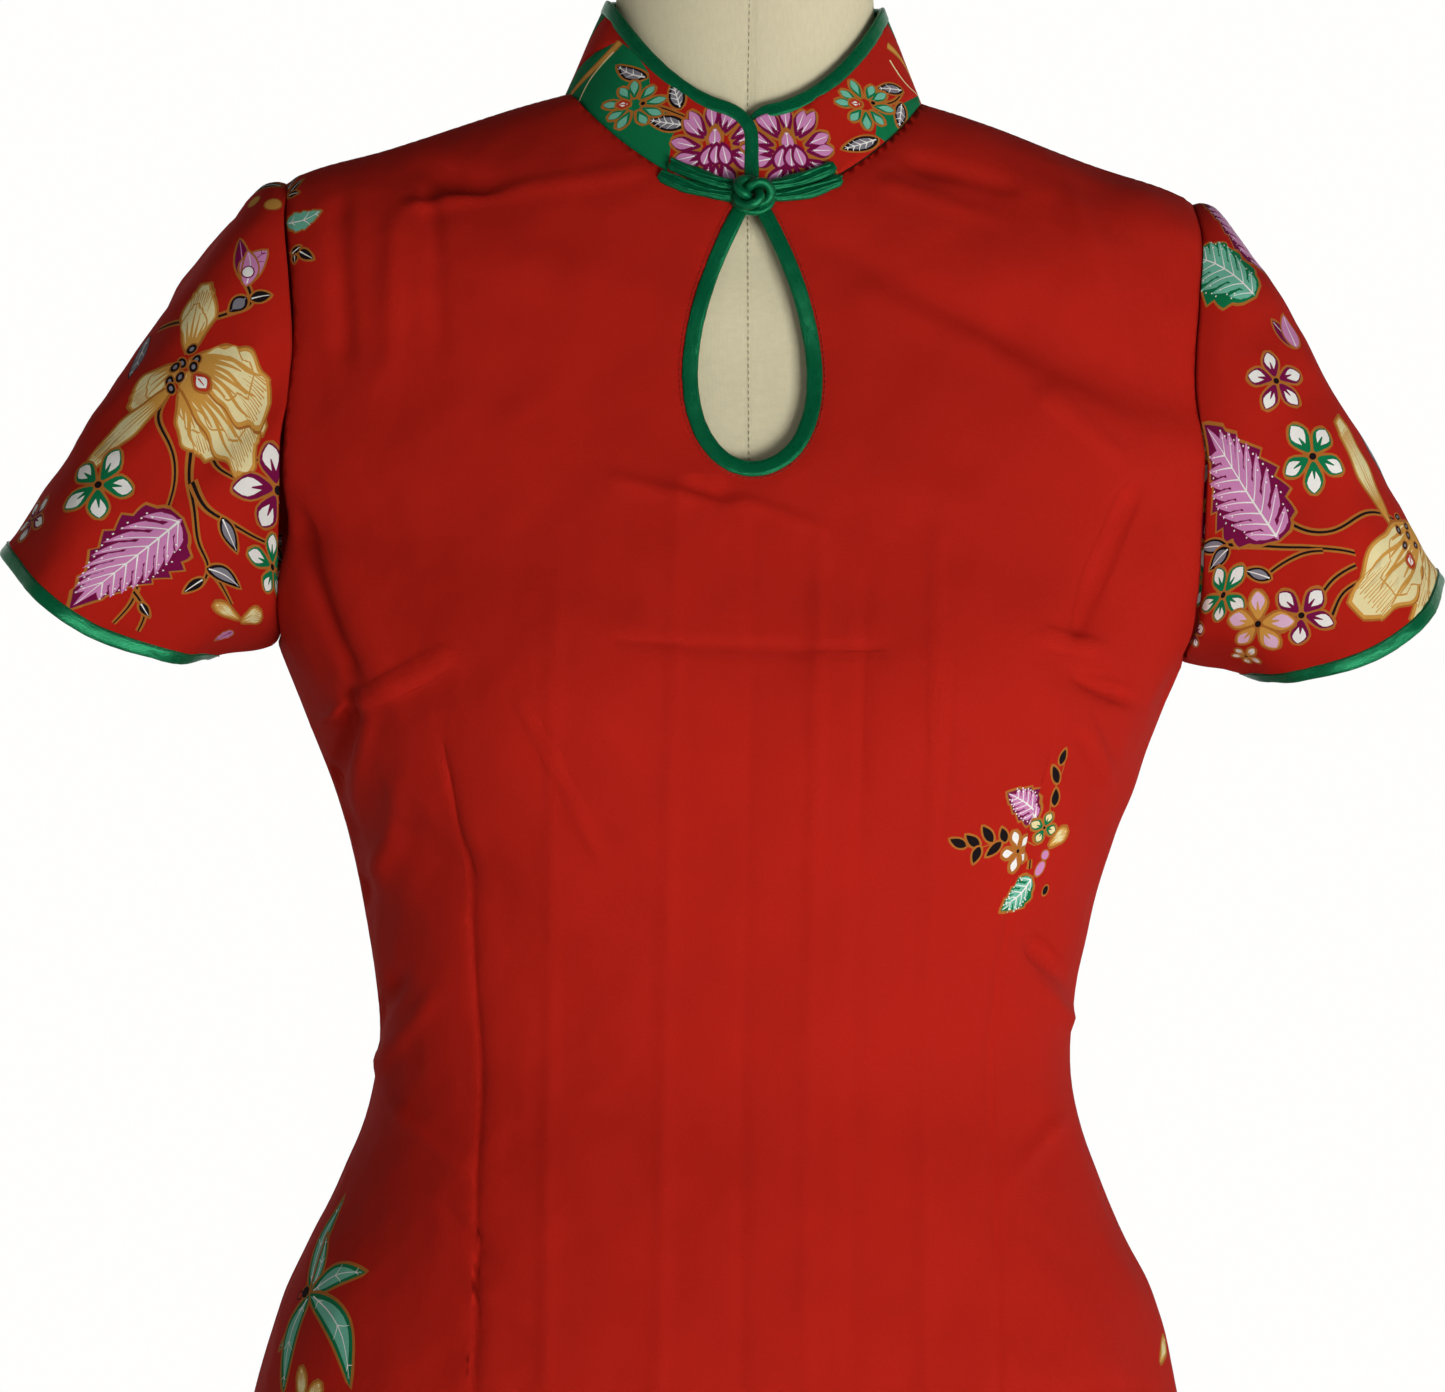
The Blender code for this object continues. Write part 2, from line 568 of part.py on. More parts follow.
def panel(name, side, dart, material_name):
    heights = np.linspace(dart[-1][0], dart[0][0], 11)
    places = np.interp(heights, [row[0] for row in dart][::-1], [row[1] for row in dart][::-1])
    runs = run_at_height(heights)
    lines = []
    for sign in (-1, 1):
        for flank in (-DART_FLANK, 0, DART_FLANK):
            taper = 1 if flank == 0 else np.clip((heights - heights[0]) / 0.05, 0.4, 1)
            lines.append(np.column_stack([sign * (places + flank * taper), runs]))
    flat, triangles = triangulate(panel_outline(side), lines)
    outer, normal = cloth_point(side, flat[:, 0], flat[:, 1])
    return sheet_wall(name, outer, outer - normal * CLOTH_WALL, triangles, material_name)


def oblong(sides, flatness):
    """Unit section of a strip with rounded edges; a flatness of 1 is a round cord."""
    turns = 2 * math.pi * (np.arange(sides) + 0.5) / sides
    cosine, sine = np.cos(turns), np.sin(turns)
    across = np.sign(cosine) * np.abs(cosine) ** flatness
    return np.column_stack([across, np.sign(sine) * np.abs(sine) ** ((1 + flatness) / 2)])


def strip(name, centre, across, out, width, thick, closed, material_name, sides=6, flatness=0.45):
    """A strip swept along a line; across and out are unit directions at each point."""
    section = oblong(sides, flatness)
    count = len(centre)
    widths = np.broadcast_to(np.asarray(width, float), (count,))
    thicks = np.broadcast_to(np.asarray(thick, float), (count,))
    points = []
    for k in range(count):
        for u, w in section:
            points.append(centre[k] + across[k] * u * widths[k] / 2 + out[k] * w * thicks[k] / 2)
    faces = []
    for k in range(count if closed else count - 1):
        low, high = k * sides, (k + 1) % count * sides
        for j in range(sides):
            step = (j + 1) % sides
            faces.append((low + j, low + step, high + step, high + j))
    if not closed:
        faces.append(tuple(range(sides))[::-1])
        faces.append(tuple((count - 1) * sides + j for j in range(sides)))
    return add_object(name, points, faces, material_name, 70)


def unit(vectors):
    return vectors / np.linalg.norm(vectors, axis=-1, keepdims=True)


def line_frame(centre, out, closed=False):
    """Unit directions across a line that lies on a surface with these normals."""
    if closed:
        along = np.roll(centre, -1, axis=0) - np.roll(centre, 1, axis=0)
    else:
        along = np.gradient(centre, axis=0)
    out = unit(out)
    across = unit(np.cross(out, along))
    return across, unit(np.cross(along, across))


def loft_wall(name, rows_out, rows_in, material_name, closed_round):
    """A wall through rows of outer and inner points, a ring each when closed_round."""
    rows, columns = len(rows_out), len(rows_out[0])
    points = np.concatenate([np.reshape(rows_out, (-1, 3)), np.reshape(rows_in, (-1, 3))])
    shift = rows * columns
    faces = []
    spans = columns if closed_round else columns - 1
    for i in range(rows - 1):
        for j in range(spans):
            a, b = i * columns + j, i * columns + (j + 1) % columns
            c, d = b + columns, a + columns
            faces.append((a, b, c, d))
            faces.append((shift + d, shift + c, shift + b, shift + a))
    for i in (0, rows - 1):
        for j in range(spans):
            a, b = i * columns + j, i * columns + (j + 1) % columns
            faces.append((a, b, shift + b, shift + a))
    if not closed_round:
        for j in (0, columns - 1):
            for i in range(rows - 1):
                a, b = i * columns + j, (i + 1) * columns + j
                faces.append((a, b, shift + b, shift + a))
    return add_object(name, points, faces, material_name)


# Sleeves
def hermite(start, start_slope, end, end_slope, t):
    return (
        (2 * t**3 - 3 * t**2 + 1) * start
        + (t**3 - 2 * t**2 + t) * start_slope
        + (3 * t**2 - 2 * t**3) * end
        + (t**3 - t**2) * end_slope
    )


def sleeve_loops():
    """Start and end points of the sleeve round the arm, with its direction at both."""
    turns = armhole_angles()
    start = np.array([cloth_point(side, across, run)[0] for side, across, run in ARMHOLE])
    tip, under = np.array(SLEEVE_TIP), np.array(SLEEVE_UNDER)
    middle, half = (tip + under) / 2, (tip - under) / 2
    drop = np.array([half[1], -half[0]]) / np.linalg.norm(half) * SLEEVE_HEM_DROP
    cosine, sine = np.cos(turns)[:, None], np.sin(turns)[:, None]
    flat = middle + half * cosine + drop * sine**2
    end = np.column_stack([flat[:, 0], -SLEEVE_HALF_DEPTH * sine[:, 0], flat[:, 1]])
    top, low = (1 + cosine) / 2, (1 - cosine) / 2
    start_way = unit(top * np.array([0.951, 0, -0.309]) + low * np.array([0.80, 0, -0.60])
                     + np.abs(sine) * np.array([0, 0, -0.25]))
    end_way = unit(top * np.array([0.54, 0, -0.84]) + low * np.array([0.88, 0, -0.47])
                   + np.abs(sine) * np.array([-0.25, 0, -0.2]))
    reach = np.linalg.norm(end - start, axis=1, keepdims=True)
    start_slope = start_way * reach * (0.32 * top + 0.6 * low + 0.35 * np.abs(sine))
    return start + start_way * SLEEVE_SEAM_GAP, start_slope, end, end_way * reach * 0.95


# Soft folds of a sleeve: where round the arm, how wide, how far out, and growth to the hem
SLEEVE_FOLD_COLUMNS = ("turn", "spread", "rise", "share_at_seam", "share_at_hem")
SLEEVE_FOLDS = (
    (60, 16, 0.0030, 0.3, 1.0),
    (98, 18, -0.0028, 0.2, 1.0),
    (136, 15, 0.0030, 0.6, 0.8),
    (212, 17, -0.0030, 0.5, 0.9),
    (258, 18, 0.0030, 0.2, 1.0),
    (305, 17, -0.0030, 0.3, 1.0),
)


def sleeve_sheet(rows, lift):
    """Points of the sleeve on the wearer's left, row by row from the armhole to the hem."""
    start, start_slope, end, end_slope = sleeve_loops()
    sheet = np.array([hermite(start, start_slope, end, end_slope, t) for t in rows])
    around = np.roll(sheet, -1, axis=1) - np.roll(sheet, 1, axis=1)
    down = np.gradient(sheet, rows, axis=0)
    out = unit(np.cross(around, down))
    middle = sheet.mean(axis=1, keepdims=True)
    out *= np.sign(np.sum(out * (sheet - middle), axis=(1, 2)))[:, None, None]
    degrees = np.degrees(armhole_angles())
    rise = np.zeros(sheet.shape[:2])
    for turn, spread, height, at_seam, at_hem in SLEEVE_FOLDS:
        off = (degrees - turn + 180) % 360 - 180
        share = at_seam + (at_hem - at_seam) * np.asarray(rows)
        share = share * smooth_step(np.asarray(rows) / 0.12)
        rise += height * share[:, None] * np.exp(-((off / spread) ** 2))[None, :]
    return sheet + out * (rise + lift)[..., None], out


def facing(points, sign):
    return points * np.array([sign, 1, 1])


def sleeve(side_name, sign):
    length = np.linalg.norm(np.subtract(SLEEVE_TIP, (0.196, SHOULDER_HEIGHT)))
    last = 1 - (SLEEVE_BINDING + SEAM_GAP) / length
    rows = last * (np.linspace(0, 1, SLEEVE_ROWS) ** 1.15)
    outer, normal = sleeve_sheet(rows, 0.0)
    inner = outer - normal * CLOTH_WALL
    loft_wall("sleeve_" + side_name, facing(outer, sign), facing(inner, sign), "printed_cotton", True)
    edge_rows = np.array([last, 1.0])
    edge, out = sleeve_sheet(edge_rows, -CLOTH_WALL / 2)
    down = unit(edge[1] - edge[0])
    centre = edge[0] + down * (SLEEVE_BINDING / 2 + SEAM_GAP)
    strip(
        "sleeve_binding_" + side_name, facing(centre, sign), facing(down, sign),
        facing(out[0], sign), SLEEVE_BINDING, BINDING_THICK, True, "green_satin",
    )


# Collar
def collar_point(angle, rise):
    """A point of the collar's outer face; rise goes from 0 at the neckline to 1 at the top."""
    base = ring_point(section_at(DRESS, RUN_TOP), angle)
    top = ring_point(np.array(COLLAR_TOP), angle)
    return base + (top - base) * np.asarray(rise)[..., None]


def collar_frame(angle, rise):
    """Outward normal, unit direction up, height of the wall there and its slant to its edges."""
    step = 0.01
    around = collar_point(angle + step, rise) - collar_point(angle - step, rise)
    up = collar_point(angle, rise + step) - collar_point(angle, rise - step)
    tall = np.linalg.norm(up, axis=-1) / (2 * step)
    cross = np.cross(unit(around), unit(up))
    return unit(cross), unit(up), tall, np.linalg.norm(cross, axis=-1)


COLLAR_ANGLES = np.linspace(0, math.pi, 300)
COLLAR_RISES = np.linspace(0, 1, 7)
COLLAR_LENGTHS = []
for level in COLLAR_RISES:
    ring = collar_point(COLLAR_ANGLES, np.full(300, level))
    steps = np.linalg.norm(np.diff(ring, axis=0), axis=1)
    COLLAR_LENGTHS.append(np.concatenate([[0], np.cumsum(steps)]))


def collar_angle(share, rise, start):
    """Angle of a place that is a share of the way from the front edge to the centre back."""
    levels = []
    for length in COLLAR_LENGTHS:
        levels.append(np.interp(start + share * (length[-1] - start), length, COLLAR_ANGLES))
    row = np.clip(rise, 0, 1) * (len(COLLAR_RISES) - 1)
    i = np.minimum(row.astype(int), len(COLLAR_RISES) - 2)
    columns = np.arange(len(share))
    levels = np.array(levels)
    return levels[i, columns] * (1 - row + i) + levels[i + 1, columns] * (row - i)


def collar_shares():
    """Shares of the half collar from the front edge to the centre back, closer at the front."""
    share = np.linspace(0, 1, COLLAR_STEPS)
    return share**1.55


def collar_top_edge(share, start, inset, corner):
    """Rise of a line a little below the top edge; corner is the radius of its rounded front."""
    angle = collar_angle(share, np.ones(len(share)), start)
    _, _, tall, slant = collar_frame(angle, np.full(len(angle), 0.9))
    distance = np.interp(angle, COLLAR_ANGLES, COLLAR_LENGTHS[-1])
    short = np.clip(corner + start - distance, 0, corner)
    drop = corner - np.sqrt(np.maximum(corner**2 - short**2, 0))
    return 1 - (drop + inset / slant) / tall


def collar():
    """The collar's two fronts meet the binding's upright stretch at the centre front."""
    start = COLLAR_BINDING / 2 + SEAM_GAP
    share = collar_shares()
    inset = COLLAR_BINDING + SEAM_GAP
    left_edge = collar_top_edge(share, start, inset, 0.0005)
    right_edge = collar_top_edge(share, start, inset, COLLAR_CORNER - COLLAR_BINDING / 2)
    outer, inner = [], []
    for level in (0, 0.34, 0.67, 1):
        foot = SEAM_GAP * 1.5 / 0.040
        left_rise = foot + (left_edge - foot) * level
        right_rise = foot + (right_edge - foot) * level
        left = collar_angle(share, left_rise, start)
        right = 2 * math.pi - collar_angle(share, right_rise, start)
        angle = np.concatenate([left, right[-2::-1]])
        rise = np.concatenate([left_rise, right_rise[-2::-1]])
        out = collar_frame(angle, rise)[0]
        points = collar_point(angle, rise)
        outer.append(points)
        inner.append(points - out * COLLAR_WALL)
    loft_wall("collar", np.array(outer), np.array(inner), "collar_print", False)


def collar_binding():
    """One strip: up the centre front, round the right corner, and round the neck to the left."""
    half = COLLAR_BINDING / 2
    share = collar_shares()
    right_edge = collar_top_edge(share, 0.0, half, COLLAR_CORNER)
    climb = np.linspace(SEAM_GAP * 1.5 / 0.040, right_edge[0], 7)[:-1]
    right_rise = np.concatenate([climb, right_edge])
    right = collar_angle(np.concatenate([np.zeros(6), share]), right_rise, 0.0)
    left_start = half + SEAM_GAP
    left_edge = collar_top_edge(share, left_start, half, 0.0005)
    left = collar_angle(share, left_edge, left_start)
    angle = np.concatenate([2 * math.pi - right, left[-2::-1]])
    rise = np.concatenate([right_rise, left_edge[-2::-1]])
    out = collar_frame(angle, rise)[0]
    centre = collar_point(angle, rise) - out * COLLAR_WALL / 2
    across, out = line_frame(centre, out)
    strip("collar_binding", centre, across, out, COLLAR_BINDING, BINDING_THICK, False, "green_satin")


def keyhole_binding():
    line = keyhole_edge(KEYHOLE_BINDING / 2)
    line[0, 1] = 0.0015
    run = front_run_at(line[:, 1])
    right = np.column_stack([line[:, 0], run])
    whole = np.concatenate([right, mirrored(right[:-1])])
    centre, out = cloth_point("front", whole[:, 0], whole[:, 1], -CLOTH_WALL / 2)
    across, out = line_frame(centre, out)
    strip("keyhole_binding", centre, across, out, KEYHOLE_BINDING, BINDING_THICK, False, "green_satin")


# Frog closing: a loop on one side and a knotted button on the other
def frog_line(sign):
    """Points along the neckline for one leg, clear of the collar and the front."""
    distance = np.linspace(FROG_START, FROG_START + FROG_LEG_LENGTH, 9)
    angle = np.interp(distance, COLLAR_LENGTHS[0], COLLAR_ANGLES)
    rise = np.full(len(angle), 0.0)
    out = collar_frame(angle, rise)[0]
    chest = cloth_point("front", distance, RUN_TOP - 0.004)[1]
    slope = unit(out + chest)
    seat = FROG_LEG_THICK / 2 + FROG_SEAT
    return facing(collar_point(angle, rise) + slope * seat, sign), facing(slope, sign)


def frog_leg(name, sign):
    centre, out = frog_line(sign)
    across, out = line_frame(centre, out)
    share = np.linspace(0, 1, len(centre))
    width = FROG_LEG_WIDTH * (0.72 + 0.28 * np.sin(np.minimum(share * 1.8, 1) * math.pi / 2))
    strip(name, centre, across, out, width, FROG_LEG_THICK, False, "green_satin", 10)


def frog_knot():
    """A button knot: one cord wound twice round and three times through itself."""
    neck, out = cloth_point("front", 0.0, RUN_TOP - 0.003)
    lean = unit(out + collar_frame(np.array([0.0]), np.array([0.1]))[0][0])
    up = unit(np.cross(np.array([1.0, 0.0, 0.0]), -lean))
    centre = neck + lean * (BINDING_THICK / 2 + KNOT_TUBE + KNOT_WAVE - KNOT_SINK)
    turns = np.linspace(0, 2 * math.pi, 42, endpoint=False)
    wide = KNOT_RING + KNOT_WAVE * np.cos(3 * turns)
    x = wide * np.cos(2 * turns) * 1.15 - 0.0007
    z = wide * np.sin(2 * turns) * 0.95
    y = KNOT_WAVE * np.sin(3 * turns)
    line = centre + x[:, None] * np.array([1.0, 0.0, 0.0]) + y[:, None] * lean + z[:, None] * up
    along = unit(np.roll(line, -1, axis=0) - np.roll(line, 1, axis=0))
    across = unit(np.cross(along, lean))
    width = 2 * KNOT_TUBE
    strip("frog_knot", line, across, np.cross(across, along), width, width, True, "green_satin", 6, 1)


# Dress form and stand
def form_body():
    sections = make_sections(FORM_SECTIONS)
    runs = sections["knots"][-1] * np.linspace(0, 1, FORM_ROWS)
    angles = np.linspace(0, 2 * math.pi, FORM_STEPS, endpoint=False)
    rings = ring_point(section_at(sections, runs)[:, None, :], angles[None, :])
    count = len(angles)
    faces = []
    for i in range(len(runs) - 1):
        for j in range(count):
            a, b = i * count + j, i * count + (j + 1) % count
            faces.append((a, b, b + count, a + count))
    faces.append(tuple(range(count))[::-1])
    faces.append(tuple((len(runs) - 1) * count + j for j in range(count)))
    add_object("form_body", rings.reshape(-1, 3), faces, "form_linen")


def turned(name, profile, material_name, steps=40, scale_y=1.0, centre_y=0.0):
    """A round solid from a profile of radius and height, bottom to top."""
    rings = []
    for radius, height in profile:
        for k in range(steps):
            turn = 2 * math.pi * k / steps
            rings.append(
                (radius * math.sin(turn), centre_y - radius * scale_y * math.cos(turn), height)
            )
    faces = []
    for i in range(len(profile) - 1):
        for k in range(steps):
            a, b = i * steps + k, i * steps + (k + 1) % steps
            faces.append((a, b, b + steps, a + steps))
    faces.append(tuple(range(steps))[::-1])
    faces.append(tuple((len(profile) - 1) * steps + k for k in range(steps)))
    add_object(name, rings, faces, material_name, 35)


def stand():
    form_bottom, form_top = FORM_SECTIONS[0][0], FORM_SECTIONS[-1][0]
    neck_width, neck_front, neck_back = FORM_SECTIONS[-1][1:4]
    gap = SEAM_GAP
    turned("base", (
        (BASE_RADIUS - 0.003, 0), (BASE_RADIUS, 0.003), (BASE_RADIUS, BASE_THICK - 0.005),
        (BASE_RADIUS - 0.005, BASE_THICK - 0.001), (BASE_RADIUS - 0.012, BASE_THICK),
    ), "base_paint", 48)
    foot = BASE_THICK + gap
    turned("flange", (
        (FLANGE_RADIUS + 0.010, foot), (FLANGE_RADIUS + 0.010, foot + 0.004),
        (FLANGE_RADIUS - 0.006, foot + 0.012), (FLANGE_RADIUS - 0.010, foot + FLANGE_HEIGHT),
    ), "base_paint", 24)
    turned("pole", (
        (POLE_RADIUS, foot + FLANGE_HEIGHT + gap), (POLE_RADIUS, form_bottom - gap),
    ), "stand_steel", 20)
    turned("neck_cap", (
        (neck_width, form_top + gap), (neck_width, form_top + CAP_THICK - 0.003),
        (neck_width - 0.003, form_top + CAP_THICK),
    ), "cap_wood", 36, (neck_front + neck_back) / 2 / neck_width, (neck_back - neck_front) / 2)


def main():
    for old in list(bpy.data.objects):
        bpy.data.objects.remove(old)
    panel("front_panel", "front", FRONT_DART, "red_cotton")
    panel("back_panel", "back", BACK_DART, "red_cotton")
    sleeve("left", 1)
    sleeve("right", -1)
    collar()
    collar_binding()
    keyhole_binding()
    frog_leg("frog_loop", -1)
    frog_leg("frog_tail", 1)
    frog_knot()
    form_body()
    stand()


main()
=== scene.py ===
import math

import bmesh
import bpy
import numpy as np
from mathutils import Matrix, Vector
from mathutils.geometry import delaunay_2d_cdt
from mathutils.kdtree import KDTree


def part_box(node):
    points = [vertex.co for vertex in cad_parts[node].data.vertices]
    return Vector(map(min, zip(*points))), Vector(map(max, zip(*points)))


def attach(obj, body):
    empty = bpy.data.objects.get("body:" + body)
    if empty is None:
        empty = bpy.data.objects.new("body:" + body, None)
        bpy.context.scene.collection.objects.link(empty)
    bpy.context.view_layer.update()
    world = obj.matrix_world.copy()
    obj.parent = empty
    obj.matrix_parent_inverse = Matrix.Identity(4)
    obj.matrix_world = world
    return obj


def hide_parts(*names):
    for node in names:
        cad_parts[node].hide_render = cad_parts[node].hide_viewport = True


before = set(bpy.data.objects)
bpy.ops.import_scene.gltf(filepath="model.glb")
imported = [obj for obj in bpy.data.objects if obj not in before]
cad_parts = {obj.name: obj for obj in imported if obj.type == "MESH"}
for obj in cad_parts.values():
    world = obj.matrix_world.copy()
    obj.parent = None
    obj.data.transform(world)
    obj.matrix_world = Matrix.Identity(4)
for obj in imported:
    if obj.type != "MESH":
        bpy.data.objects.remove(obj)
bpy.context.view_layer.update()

scene = bpy.context.scene

# Camera, floor and light
view = {
    "camera": (-0.2168, -3.0, 1.2358),
    "yaw": 0.0708,
    "pitch": -0.0145,
    "roll": 0.0189,
    "lens": 174.0,
    "pictureWidth": 621.35,
    "centreShift": 18.3,
    "middleHeight": 1190.1,
    "floorSize": 9.0,
    "floorColour": (0.86, 0.86, 0.85, 1),
    "floorRough": 0.7,
    "wallColour": (1, 0.995, 0.985, 1),
    "dimSide": (-0.25, -0.968, 0.0),
    "dimLight": 0.26,
    "topLight": 0.10,
    "keyPower": 90.0,
    "keyPlace": (1.32, -2.7, 0.30),
    "keySize": 1.5,
    "fillPower": 2.0,
    "fillPlace": (-2.4, -1.8, 1.4),
    "fillSize": 1.8,
}


def addCamera():
    yaw, pitch, roll = view["yaw"], view["pitch"], view["roll"]
    ahead = Vector((math.sin(yaw) * math.cos(pitch), math.cos(yaw) * math.cos(pitch), math.sin(pitch)))
    right = Vector((math.cos(yaw), -math.sin(yaw), 0))
    up = right.cross(ahead)
    across = math.cos(roll) * right + math.sin(roll) * up
    above = math.cos(roll) * up - math.sin(roll) * right
    view["axes"] = [np.array(axis) for axis in (across, above, ahead)]
    data = bpy.data.cameras.new("photo_camera")
    data.lens = view["lens"]
    data.sensor_width = 36
    camera = bpy.data.objects.new("photo_camera", data)
    scene.collection.objects.link(camera)
    turn = Matrix((across, above, -ahead)).transposed().to_4x4()
    camera.matrix_world = Matrix.Translation(view["camera"]) @ turn
    scene.camera = camera


def addLight(name, place, power, size, target=(0, 0, 1.15)):
    data = bpy.data.lights.new(name, "AREA")
    data.energy = power
    data.size = size
    light = bpy.data.objects.new(name, data)
    light.location = place
    light.rotation_euler = (Vector(target) - Vector(place)).to_track_quat("-Z", "Y").to_euler()
    scene.collection.objects.link(light)


def fillNode(tree, node, inputs):  # links the sockets and writes the plain values
    for key, value in inputs.items():
        if isinstance(value, bpy.types.NodeSocket):
            tree.links.new(value, node.inputs[key])
        else:
            node.inputs[key].default_value = value


def addNode(tree, kind, inputs=None, **settings):
    made = tree.nodes.new("ShaderNode" + kind)
    for key, value in settings.items():
        setattr(made, key, value)
    fillNode(tree, made, inputs or {})
    return made


def softWorld():  # white walls all round, dimmer above and at the wearer's right
    world = bpy.data.worlds.new("soft_studio")
    world.use_nodes = True
    tree = world.node_tree
    place = addNode(tree, "TexCoord").outputs["Generated"]
    falls = ((0, 0, 1), 0.12, 0.75, view["topLight"]), (view["dimSide"], -0.8, 0.2, view["dimLight"])
    shares = {}
    for k, (way, start, end, least) in enumerate(falls):
        along = addNode(tree, "VectorMath", {0: place, 1: way}, operation="DOT_PRODUCT").outputs["Value"]
        values = {"Value": along, "From Min": start, "From Max": end, "To Min": 1.0, "To Max": least}
        shares[k] = addNode(tree, "MapRange", values, interpolation_type="SMOOTHSTEP").outputs["Result"]
    both = addNode(tree, "Math", shares, operation="MULTIPLY").outputs[0]
    fillNode(tree, tree.nodes["Background"], {"Color": view["wallColour"], "Strength": both})
    return world


def addStudio():
    scene.view_settings.view_transform = "Standard"
    scene.world = softWorld()
    addLight("key_softbox", view["keyPlace"], view["keyPower"], view["keySize"])
    addLight("fill_softbox", view["fillPlace"], view["fillPower"], view["fillSize"])
    half = view["floorSize"] / 2
    corners = [(-half, -half, 0), (half, -half, 0), (half, half, 0), (-half, half, 0)]
    mesh = bpy.data.meshes.new("studio_floor")
    mesh.from_pydata(corners, [], [(0, 1, 2, 3)])
    paint = bpy.data.materials.new("studio_floor")
    paint.use_nodes = True
    looks = {"Base Color": view["floorColour"], "Roughness": view["floorRough"]}
    fillNode(paint.node_tree, paint.node_tree.nodes["Principled BSDF"], looks)
    mesh.materials.append(paint)
    floor = bpy.data.objects.new("studio_floor", mesh)
    scene.collection.objects.link(floor)


addCamera()
addStudio()
print("camera, floor and light are in place")


# Colours as they look on the cloth
def tone(code):  # linear colour of a six-figure web colour
    parts = [int(code[k : k + 2], 16) / 255 for k in (0, 2, 4)]
    return tuple(p / 12.92 if p <= 0.04045 else ((p + 0.055) / 1.055) ** 2.4 for p in parts)


inks = {
    "red": tone("be2013"),
    "gold": tone("b9702c"),
    "cream": tone("f7e7ae"),
    "ochre": tone("dca048"),
    "pink": tone("dd8fc4"),
    "palePink": tone("efc3e0"),
    "magenta": tone("7d0f47"),
    "teal": tone("78c8ac"),
    "green": tone("0d7a4a"),
    "white": tone("fdfaf4"),
    "black": tone("1b1215"),
    "grey": tone("8b8790"),
    "brick": tone("c23a20"),
}


# The body's form: level sections with the same driving sizes as the solids
seamGap = 0.0003
waistHeight, hemHeight, shoulderHeight = 1.040, 0.450, 1.409
slitHeight, slitSpread = 0.180, 0.014

# height at the side, half_width, front, back, square, front_dip, back_dip
dressSections = (
    (hemHeight, 0.194, 0.122, 0.132, 2.15, 0.000, 0.000),
    (0.620, 0.199, 0.124, 0.136, 2.20, 0.000, 0.000),
    (0.780, 0.204, 0.126, 0.137, 2.25, 0.000, 0.000),
    (0.870, 0.203, 0.125, 0.131, 2.25, 0.000, 0.000),
    (0.943, 0.183, 0.117, 0.117, 2.20, 0.000, 0.000),
    (0.995, 0.159, 0.107, 0.102, 2.15, 0.000, 0.000),
    (waistHeight, 0.149, 0.101, 0.094, 2.15, 0.000, 0.000),
    (1.085, 0.154, 0.105, 0.096, 2.20, 0.000, 0.000),
    (1.137, 0.166, 0.112, 0.102, 2.25, 0.000, 0.000),
    (1.188, 0.186, 0.117, 0.107, 2.30, 0.002, 0.000),
    (1.225, 0.202, 0.114, 0.110, 2.25, 0.005, 0.000),
    (1.290, 0.226, 0.102, 0.110, 2.15, 0.014, 0.000),
    (1.345, 0.229, 0.089, 0.105, 2.10, 0.030, 0.002),
    (1.390, 0.214, 0.080, 0.098, 2.15, 0.045, 0.006),
    (shoulderHeight, 0.196, 0.076, 0.093, 2.20, 0.050, 0.008),
    (1.4225, 0.158, 0.0720, 0.082, 2.25, 0.0505, 0.004),
    (1.4360, 0.1185, 0.0680, 0.070, 2.25, 0.0495, 0.000),
    (1.4445, 0.093, 0.0645, 0.058, 2.15, 0.0475, -0.005),
    (1.4490, 0.0765, 0.0610, 0.048, 2.10, 0.0440, -0.009),
)
formSections = (
    (0.800, 0.176, 0.108, 0.117, 2.20, 0.000, 0.000),
    (0.870, 0.180, 0.110, 0.117, 2.25, 0.000, 0.000),
    (0.943, 0.163, 0.102, 0.104, 2.20, 0.000, 0.000),
    (0.995, 0.141, 0.092, 0.090, 2.15, 0.000, 0.000),
    (waistHeight, 0.131, 0.087, 0.083, 2.15, 0.000, 0.000),
    (1.085, 0.137, 0.092, 0.086, 2.20, 0.000, 0.000),
    (1.137, 0.148, 0.101, 0.093, 2.25, 0.000, 0.000),
    (1.188, 0.160, 0.108, 0.099, 2.30, 0.002, 0.000),
    (1.225, 0.167, 0.106, 0.102, 2.35, 0.005, 0.000),
    (1.290, 0.174, 0.095, 0.102, 2.35, 0.014, 0.000),
    (1.345, 0.180, 0.082, 0.097, 2.30, 0.030, 0.002),
    (1.385, 0.184, 0.0735, 0.090, 2.25, 0.045, 0.006),
    (1.4045, 0.182, 0.0695, 0.085, 2.25, 0.050, 0.008),
    (1.4184, 0.152, 0.0655, 0.077, 2.25, 0.0505, 0.004),
    (1.4318, 0.1150, 0.0610, 0.064, 2.25, 0.0495, 0.000),
    (1.4402, 0.0885, 0.0580, 0.052, 2.15, 0.0480, -0.005),
    (1.4475, 0.0705, 0.0510, 0.042, 2.10, 0.0430, -0.009),
    (1.4650, 0.0590, 0.0445, 0.0385, 2.05, 0.0270, -0.006),
    (1.4890, 0.0555, 0.0425, 0.0385, 2.05, 0.0120, -0.002),
    (1.5300, 0.0550, 0.0420, 0.0390, 2.00, 0.0000, 0.000),
)

bustMounds = ((-0.085, 1.192, 0.010, 0.052, 0.050), (0.085, 1.192, 0.010, 0.052, 0.050))

